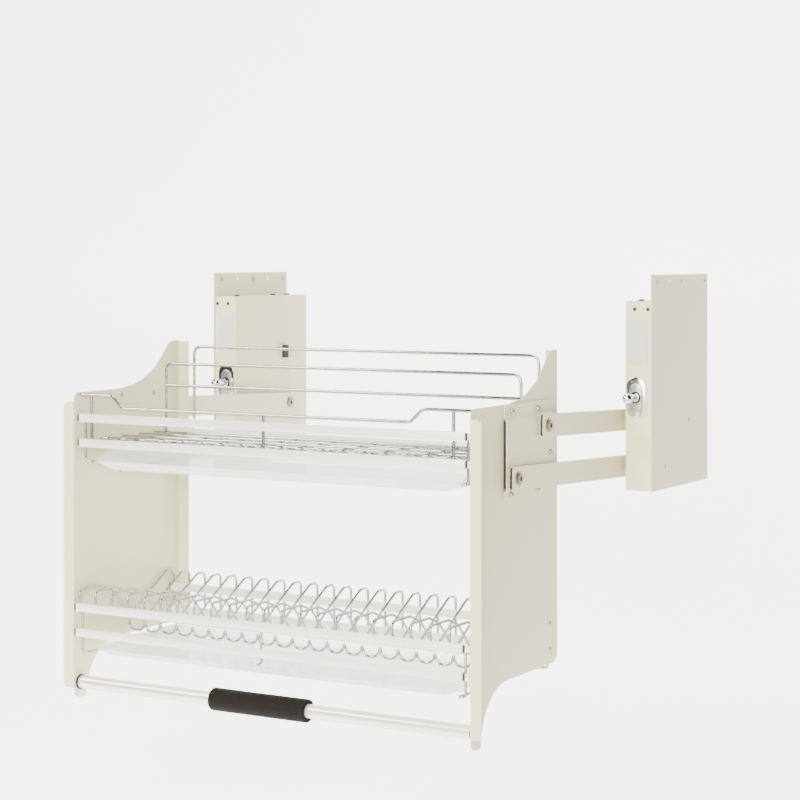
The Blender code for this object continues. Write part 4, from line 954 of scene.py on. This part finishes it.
def drilled(mesh, holes):
    """Cuts round holes: (radius, half depth, place, axis)."""
    obj = placed(mesh)
    drills = []
    for radius, depth, place, axis in holes:
        drill = placed(turned([(0, -depth), (radius, -depth), (radius, depth), (0, depth)], place, axis, 32))
        drills.append(drill)
        bore = obj.modifiers.new("bore", "BOOLEAN")
        bore.operation = "DIFFERENCE"
        bore.object = drill
        bore.solver = "EXACT"
    result = baked(obj)
    for drill in drills:
        bpy.data.objects.remove(drill)
    return result


# Arm brackets; ends are (y, z)
BRACKET_LOW = (-0.386, 0.019)
BRACKET_HIGH = (-0.227, 0.162)
BRACKET_FOOT_CORNER = 0.018
BRACKET_REAR_CORNER = 0.009
BRACKET_TOP_CORNER = 0.006
BRACKET_X = SHEET_FACE + 0.0013
BRACKET_HALF = 0.001
BRACKET_LIFT = 0.0042
BRACKET_BORE = 0.0053
BORE_X = 0.3655
JOGGLES = (0.0325, 0.1435)
JOGGLE_LENGTH = 0.005
SHADE_STRIP_Y = (-0.3856, -0.3815)
SHADE_STRIP_Z = (0.0385, 0.1375)
SHADE_STRIP_X = (SHEET_FACE + 0.0004, SHEET_FACE + 0.0044)


def bracket_heights():
    """Heights of a bracket's rows, close together in its corners and joggles."""
    low, high = BRACKET_LOW[1], BRACKET_HIGH[1]
    heights = [low + BRACKET_FOOT_CORNER * (1 - math.cos(math.radians(a))) for a in range(0, 91, 9)]
    heights += [high - BRACKET_TOP_CORNER * (1 - math.cos(math.radians(a))) for a in range(0, 91, 15)]
    heights += [start + 0.0008 * number for start in (0.032, 0.138) for number in range(8)]
    return sorted({round(z, 6) for z in heights})


def brackets():
    """Joggled plates that carry the bolts, raised off the side plate between their feet; a black strip just
    behind each front edge, in the gap under the raised part, is painted shade.
    """
    low, high = BRACKET_LOW[1], BRACKET_HIGH[1]
    for label, side in SIDES:
        rows = []
        for z in bracket_heights():
            top = fall_back(BRACKET_TOP_CORNER, z - high + BRACKET_TOP_CORNER)
            front = BRACKET_LOW[0] + fall_back(BRACKET_FOOT_CORNER, low + BRACKET_FOOT_CORNER - z) + top
            rear = BRACKET_HIGH[0] - fall_back(BRACKET_REAR_CORNER, low + BRACKET_REAR_CORNER - z) - top
            from_ends = min((z - JOGGLES[0]) / JOGGLE_LENGTH, (JOGGLES[1] - z) / JOGGLE_LENGTH)
            x = BRACKET_X + BRACKET_LIFT * smooth(from_ends)
            rows.append([(side * (x + reach), y, z)
                         for reach, y in ((-BRACKET_HALF, front), (-BRACKET_HALF, rear),
                                          (BRACKET_HALF, rear), (BRACKET_HALF, front))])
        bores = [(BRACKET_BORE, 0.01, (side * BORE_X, *basket_end(pivot)), (1, 0, 0))
                 for pivot in PIVOTS.values()]
        finished(label + "_bracket", drilled(to_mesh(skinned(rows)), bores), "basket", PAINT,
                 [label + "_arm_bracket"], 40)
        # Painted shade: a black strip in the gap under the raised bracket makes that gap dark
        corners = [(side * x, y, z) for x, y, z in zip(SHADE_STRIP_X, SHADE_STRIP_Y, SHADE_STRIP_Z)]
        finished(label + "_bracket_seal", block(*corners, 0.0004), "basket", RUBBER)


# Side mechanisms; the adjuster's plates are width, height, back, front, ease and hole
HOUSING_X = 0.384
HOUSING_SHEET = 0.0015
HOUSING_EASE = 0.003
SPRING_X = 0.404
ADJUSTER_Z = 0.152
SHAFT_HOLE = 0.0063
SCREW_HOLE = 0.0033
ESCUTCHEON = (0.033, 0.066, -CLEARANCE, -0.0025, 0.0008, 0.0076)
INNER_PLATE = (0.021, 0.046, -0.0025, -0.0043, 0.0006, 0.0096)
NUT_SHADE_RING = (0.0076, 0.0094)
NUT_SHADE_RING_ENDS = (0.0026, 0.0036)
BALL = 0.0085
SCREW_TIP = 0.043
NECK = ((BALL, 0.0310), (0.0078, 0.0295), (0.006, 0.0290), (0.006, 0.0073), (0.0072, 0.0070),
        (0.0072, 0.0006), (0.0069, 0.0003), (0.003, 0.0003))
THREAD_RADII = (0.0030, 0.0026)
THREAD_START = 0.0045
THREAD_PITCH = 0.001
THREAD_TURNS = 52
THREAD_END = 0.060
STOP_PLACE = (0.155, 0.203)
STOP_ANGLE = math.atan2(-0.652, 0.758)
STOP_STRIP = ((-0.012, -0.014), (0.052, 0.014))
STRIP_SHEET = 0.0015


def housings():
    """Pressed covers with round edges, open to the wall plate behind them."""
    for label, side in SIDES:
        low, high = box(label + "_housing")
        near = side * HOUSING_X
        wall = side * WALL_X
        shape = bmesh.new()
        shape.from_mesh(block((near, low.y, low.z), (wall + side * 0.008, high.y, high.z), HOUSING_EASE, 5))
        geom = shape.verts[:] + shape.edges[:] + shape.faces[:]
        bmesh.ops.bisect_plane(shape, geom=geom, plane_co=(wall, 0, 0), plane_no=(side, 0, 0),
                               clear_outer=True)
        holes = [(SHAFT_HOLE, 0.004, (near, *pivot), (1, 0, 0)) for pivot in PIVOTS.values()]
        holes.append((SCREW_HOLE, 0.004, (side * SPRING_X, 0, ADJUSTER_Z), (0, 1, 0)))
        cover = drilled(solidified(shape, HOUSING_SHEET), holes)
        finished(label + "_cover", cover, "mechanism", PAINT, [label + "_housing"], 40)


def stadium(sizes, centre):
    """A raised plate with round ends on the front of a cover, with a round hole."""
    width, height, back, front, ease, hole = sizes
    straight = (height - width) / 2
    outline = round_ended((0, -straight), (0, straight), width / 2, 24)
    to_front = Matrix.Translation(centre) @ Matrix.Rotation(math.pi / 2, 4, "Z")
    return drilled(plate(outline, back, front, ease, to_front), [(hole, 0.02, centre, (0, 1, 0))])


def adjusters():
    """Chrome escutcheon, satin inner plate, a black ring as painted shade in the opening round the nut, and
    the ball-ended screw.
    """
    for label, side in SIDES:
        centre = (side * SPRING_X, 0, ADJUSTER_Z)
        finished(label + "_escutcheon", stadium(ESCUTCHEON, centre), "mechanism", CHROME,
                 [label + "_adjuster_plate"], 30)
        finished(label + "_inner_plate", stadium(INNER_PLATE, centre), "mechanism", SATIN, (), 30)
        # Painted shade: a black ring fills the opening round the nut, where there is only shade
        ring = turned(sleeve(NUT_SHADE_RING, *NUT_SHADE_RING_ENDS), centre, (0, -1, 0), 40)
        finished(label + "_nut_seal", ring, "mechanism", RUBBER)
        profile = [*arc((0, SCREW_TIP - BALL), BALL, 90, 0), *NECK]
        crest, root = THREAD_RADII
        for number in range(THREAD_TURNS):
            along = -THREAD_START - number * THREAD_PITCH
            profile += [(crest, along), (root, along - THREAD_PITCH / 2)]
        profile += [(root, -THREAD_END + 0.0005), (0, -THREAD_END)]
        screw = turned(profile, centre, (0, -1, 0), 40)
        finished(label + "_screw", screw, f"{label}_adjuster", CHROME, [label + "_adjuster_screw"], 35)


def stops():
    """Black pad on its steel strip, on the inner face of each cover."""
    turn = Matrix.Rotation(STOP_ANGLE, 2)
    strip = [tuple(turn @ Vector(point) + Vector(STOP_PLACE))
             for point in soft_rectangle(*STOP_STRIP, 0.003, 4)]
    face = HOUSING_X - CLEARANCE
    for label, side in SIDES:
        mesh = plate(strip, side * face, side * (face - STRIP_SHEET), 0.0003)
        finished(label + "_stop_strip", mesh, "mechanism", PAINT, [label + "_stop_bracket"], 30)
        low, high = box(label + "_stop_pad")
        finished(label + "_pad", block(low, high, 0.0018, 4), "mechanism", RUBBER, [label + "_stop_pad"], 40)


# Drip trays; a level is its bottom, lip, rim and the rail that carries it
TRAYS = {"upper": (0.039, 0.013, 0.028, RAIL_Z["upper"]), "lower": (-0.258, 0.0085, 0.0140, RAIL_Z["lower"])}
TRAY_FRONT = -0.470
TRAY_REAR = -0.232
TRAY_MIDDLE = (TRAY_FRONT + TRAY_REAR) / 2
HALF_DEPTH = (TRAY_REAR - TRAY_FRONT) / 2
TRAY_HALF = 0.335
TRAY_FOOT_HALF = 0.310
TRAY_FOOT_INSET = 0.006
TRAY_CORNER = 0.012
TRAY_FILLET = 0.006
TRAY_WALL = 0.0015
LIP_REACH = 0.05
RUNNER_X = 0.341
RUNNER_Y = (-0.408, -0.244)


def tray_plan():
    """The rim's points in plan, in order round the tray, close together along the rising lip."""
    plan = soft_rectangle((-TRAY_HALF, TRAY_FRONT), (TRAY_HALF, TRAY_REAR), TRAY_CORNER)
    rising = [TRAY_FRONT + LIP_REACH * step / 8 for step in range(3, 13)]
    plan += [(side * TRAY_HALF, y) for y in rising for side in (-1, 1)]
    return sorted(set((round(x, 6), round(y, 6)) for x, y in plan),
                  key=lambda point: math.atan2((point[1] - TRAY_MIDDLE) * TRAY_HALF / HALF_DEPTH, point[0]))


def drip_tray(level):
    """Thin moulded tray: round bottom edge, low front lip, higher rim and side runners."""
    bottom_z, lip, rim, rail_z = TRAYS[level]
    shrink = (TRAY_FOOT_HALF / TRAY_HALF, (HALF_DEPTH - TRAY_FOOT_INSET) / HALF_DEPTH)
    shape = bmesh.new()
    rings = []
    for x, y in tray_plan():
        top = Vector((x, y, bottom_z + lip + (rim - lip) * smooth((y - TRAY_FRONT) / LIP_REACH)))
        foot = Vector((x * shrink[0], TRAY_MIDDLE + (y - TRAY_MIDDLE) * shrink[1], bottom_z))
        toward = Vector((-foot.x, TRAY_MIDDLE - foot.y, 0)).normalized()
        flat = foot + toward * TRAY_FILLET
        wall = foot.lerp(top, min(0.8, TRAY_FILLET / (top - foot).length))
        line = []
        for step in range(6):
            share = step / 5
            line.append(flat.lerp(foot, share).lerp(foot.lerp(wall, share), share))
        line += [wall.lerp(top, 0.5), top]
        rings.append([shape.verts.new(point) for point in line])
    for line, following in zip(rings, rings[1:] + rings[:1]):
        for step in range(len(line) - 1):
            shape.faces.new((line[step], following[step], following[step + 1], line[step + 1]))
    shape.faces.new([line[0] for line in rings])
    parts = [solidified(shape, TRAY_WALL)]
    runner_z = rail_z + WIRE_RADIUS + CLEARANCE
    wall_x = TRAY_FOOT_HALF + (TRAY_HALF - TRAY_FOOT_HALF) * (runner_z - bottom_z) / rim
    for side in (-1, 1):
        parts.append(block((side * (wall_x - 0.0002), RUNNER_Y[0], runner_z),
                           (side * RUNNER_X, RUNNER_Y[1], runner_z + TRAY_WALL), 0.0004))
    finished(level + "_clear_tray", together(parts), level + "_tray", TRAY, [level + "_drip_tray"], 40)


def screws(name, places, axis, radius, height, body, finish):
    """The same pan-headed screw, with a small hex recess, at several places along one axis."""
    rings = [(radius, 0, 0), (radius, height * 0.45, 0), (radius * 0.86, height * 0.82, 0),
             (radius * 0.6, height, 0), (radius * 0.42, height, 1), (radius * 0.38, height * 0.45, 1)]
    model = placed(headed(rings, steps=24))
    turn = Vector(axis).to_track_quat("Z", "Y").to_matrix().to_4x4()
    points = bpy.data.meshes.new("places")
    points.from_pydata([turn.inverted() @ Vector(place) for place in places], [], [])
    mesh = run_tree(points, SCATTER, {"Fastener": model, "Finish": finish.material})
    bpy.data.objects.remove(model)
    mesh.transform(turn)
    finished(name, closed_mesh(mesh), body, finish, (), 40)


# Small screws; places are (y, z) unless they say which
BRACKET_FEET = ((-0.3635, 0.1515), (-0.2764, 0.1505), (-0.3666, 0.0285), (-0.2794, 0.0285))
RAISED_SCREW = (-0.2436, 0.082)
REAR_BAR_ENDS = ((-0.231, -0.183), (-0.231, -0.222))
INNER_PLACES = ((-0.3636, 0.1515), (-0.2764, 0.1505), (-0.3666, 0.0278))
WALL_PLATE_DEPTH = 0.237
WALL_PLACES = tuple((share * WALL_PLATE_DEPTH, 0.340) for share in (0.088, 0.515, 0.943))
WALL_FACE = 0.430
COVER_X = 0.401
COVER_Y = (0.028, 0.146, 0.194)
FRONT_X = (0.4014, 0.4247)
FRONT_Z = 0.295


def all_screws():
    """The small screws that hold the sheet metal together, listed for the right side."""
    out, into = (1, 0, 0), (-1, 0, 0)
    foot = SHEET_FACE + CLEARANCE + 2 * BRACKET_HALF
    top = box("right_housing")[1].z
    sets = (
        ("bracket_screws", [(foot, *place) for place in BRACKET_FEET], out, 0.0044, 0.0042, SCREW),
        ("raised_screw", [(foot + BRACKET_LIFT, *RAISED_SCREW)], out, 0.0042, 0.0034, SCREW),
        ("rear_bar_screws", [(SHEET_FACE, *place) for place in REAR_BAR_ENDS], out, 0.0036, 0.002, SCREW),
        ("inner_screws", [(SHEET_X, *place) for place in INNER_PLACES], into, 0.0042, 0.0022, SCREW),
        ("cover_screws", [(COVER_X, y, top) for y in COVER_Y], (0, 0, 1), 0.005, 0.003, PLUG),
        ("front_screws", [(x, 0, FRONT_Z) for x in FRONT_X], (0, -1, 0), 0.0030, 0.0016, PLUG),
        ("wall_screws", [(WALL_FACE, *place) for place in WALL_PLACES], into, 0.0048, 0.0026, SCREW))
    for label, side in SIDES:
        for name, places, (across, along, up), radius, height, finish in sets:
            # The basket ends inside the housings' inner faces
            body = "mechanism" if places[0][0] > HOUSING_X else "basket"
            screws(f"{label}_{name}", [(side * x, y, z) for x, y, z in places], (side * across, along, up),
                   radius, height, body, finish)


# Bare label on a cover's front
LABEL_X = (0.3905, 0.4245)
LABEL_Z = (0.205, 0.278)
LABEL_BORDER = 0.0018


def label_plates():
    """A bare label in a thin raised frame on each cover's front."""
    low, high = LABEL_Z
    for label, side in SIDES:
        near, far = sorted(side * x for x in LABEL_X)
        frame_mesh = block((near, -0.0009, low), (far, 0.0, high), 0.0003)
        finished(label + "_label_frame", frame_mesh, "mechanism", PAINT)
        ground = block((near + LABEL_BORDER, -0.0013, low + LABEL_BORDER),
                       (far - LABEL_BORDER, -0.0008, high - LABEL_BORDER), 0.0001)
        finished(label + "_bare_label", ground, "mechanism", LABEL)


def kept_nodes():
    """Finishes for the CAD pieces that stay as they are."""
    for label, _ in SIDES:
        for node, finish in (("wall_plate", PAINT), ("lift_spring", SPRING), ("spring_carriage", BOLT),
                             ("rest_buffer", RUBBER)):
            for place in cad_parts[f"{label}_{node}"].material_slots:
                place.material = finish.material


# Studio; a lamp is its name, place, size and power
PAPER_Z = -0.60
PAPER_HALF = 7
PAPER_FRONT = -6.0
SWEEP_Y = 1.6
SWEEP_RADIUS = 0.9
SWEEP_HEIGHT = 5.0
POOL_CENTRE = (-1.3, 1.5, 0.2)
POOL_EDGE = 3.3
POOL_FADE = 0.8
LAMPS = (("front", (0.9, -4.4, 1.4), 3.4, 520), ("key", (-2.4, -2.6, 2.4), 1.4, 150),
         ("top", (0.0, -0.4, 3.2), 1.6, 110))
LAMP_COLOUR = (1.0, 0.96, 0.87)
CAMERA_PLACE = (1.773, -3.102, 0.380)
CAMERA_VIEW = (-0.5045, 0.8634, 0)


def paper_sweep():
    """Pale floor that curves up behind the rack; it glows, with a painted pool of light at full glow and a
    dim glow beyond.
    """
    outline = [(PAPER_FRONT, PAPER_Z), (SWEEP_Y, PAPER_Z)]
    outline += arc((SWEEP_Y, PAPER_Z + SWEEP_RADIUS), SWEEP_RADIUS, -84, 0, 14)
    outline += [(SWEEP_Y + SWEEP_RADIUS, SWEEP_HEIGHT)]
    shape = bmesh.new()
    left, right = ([shape.verts.new((x, y, z)) for y, z in outline] for x in (-PAPER_HALF, PAPER_HALF))
    for index in range(len(outline) - 1):
        shape.faces.new((left[index], left[index + 1], right[index + 1], right[index]))
    mesh = to_mesh(shape)
    sweep = placed(mesh, "sweep")
    mesh.shade_smooth()
    paper = Finish("white_paper", "white_paint", {"Emission Strength": 3.2})
    paper.shade((0.86, 0.86, 0.86), (0.84, 0.84, 0.84), paper.noise(3.0))
    paper.link("Roughness", 0.75 + 0.1 * paper.noise(20.0))
    # Painted light: the paper glows at full strength inside a round pool that fades over POOL_FADE, and dimly
    # beyond it
    reach = paper.add("VectorMath", {"operation": "DISTANCE"}, {0: paper.place, 1: POOL_CENTRE}, "Value")
    painted_light_pool = paper.add("Clamp", {}, {"Value": (POOL_EDGE - reach) * (1 / POOL_FADE)})
    paper.link("Emission Color", paper.blend((0.10, 0.10, 0.10), (1, 1, 1), painted_light_pool))
    mesh.materials.append(paper.material)


def studio():
    """Paper, soft lamps that aim at the rack, a dim room and the camera."""
    paper_sweep()
    for name, place, size, power in LAMPS:
        lamp = bpy.data.lights.new(name, "AREA")
        lamp.shape = "DISK"
        lamp.size = size
        lamp.energy = power
        lamp.color = LAMP_COLOUR
        obj = placed(lamp, name)
        obj.location = place
        obj.rotation_euler = (-Vector(place)).to_track_quat("-Z", "Y").to_euler()
    world = bpy.data.worlds.new("room")
    world.use_nodes = True
    background = world.node_tree.nodes["Background"]
    background.inputs["Color"].default_value = (1, 1, 1, 1)
    background.inputs["Strength"].default_value = 0.06
    bpy.context.scene.world = world
    lens = bpy.data.cameras.new("camera")
    lens.sensor_width = 36
    lens.lens = 93.5
    lens.shift_y = -0.179
    camera = placed(lens, "camera")
    camera.location = CAMERA_PLACE
    camera.rotation_euler = Vector(CAMERA_VIEW).to_track_quat("-Z", "Y").to_euler()
    bpy.context.scene.camera = camera


upper_floor()
guards()
comb()
cradle()
tray_runs()
handle()
bars()
side_plates()
arms()
bolts()
brackets()
housings()
adjusters()
stops()
for level in TRAYS:
    drip_tray(level)
all_screws()
label_plates()
kept_nodes()
studio()
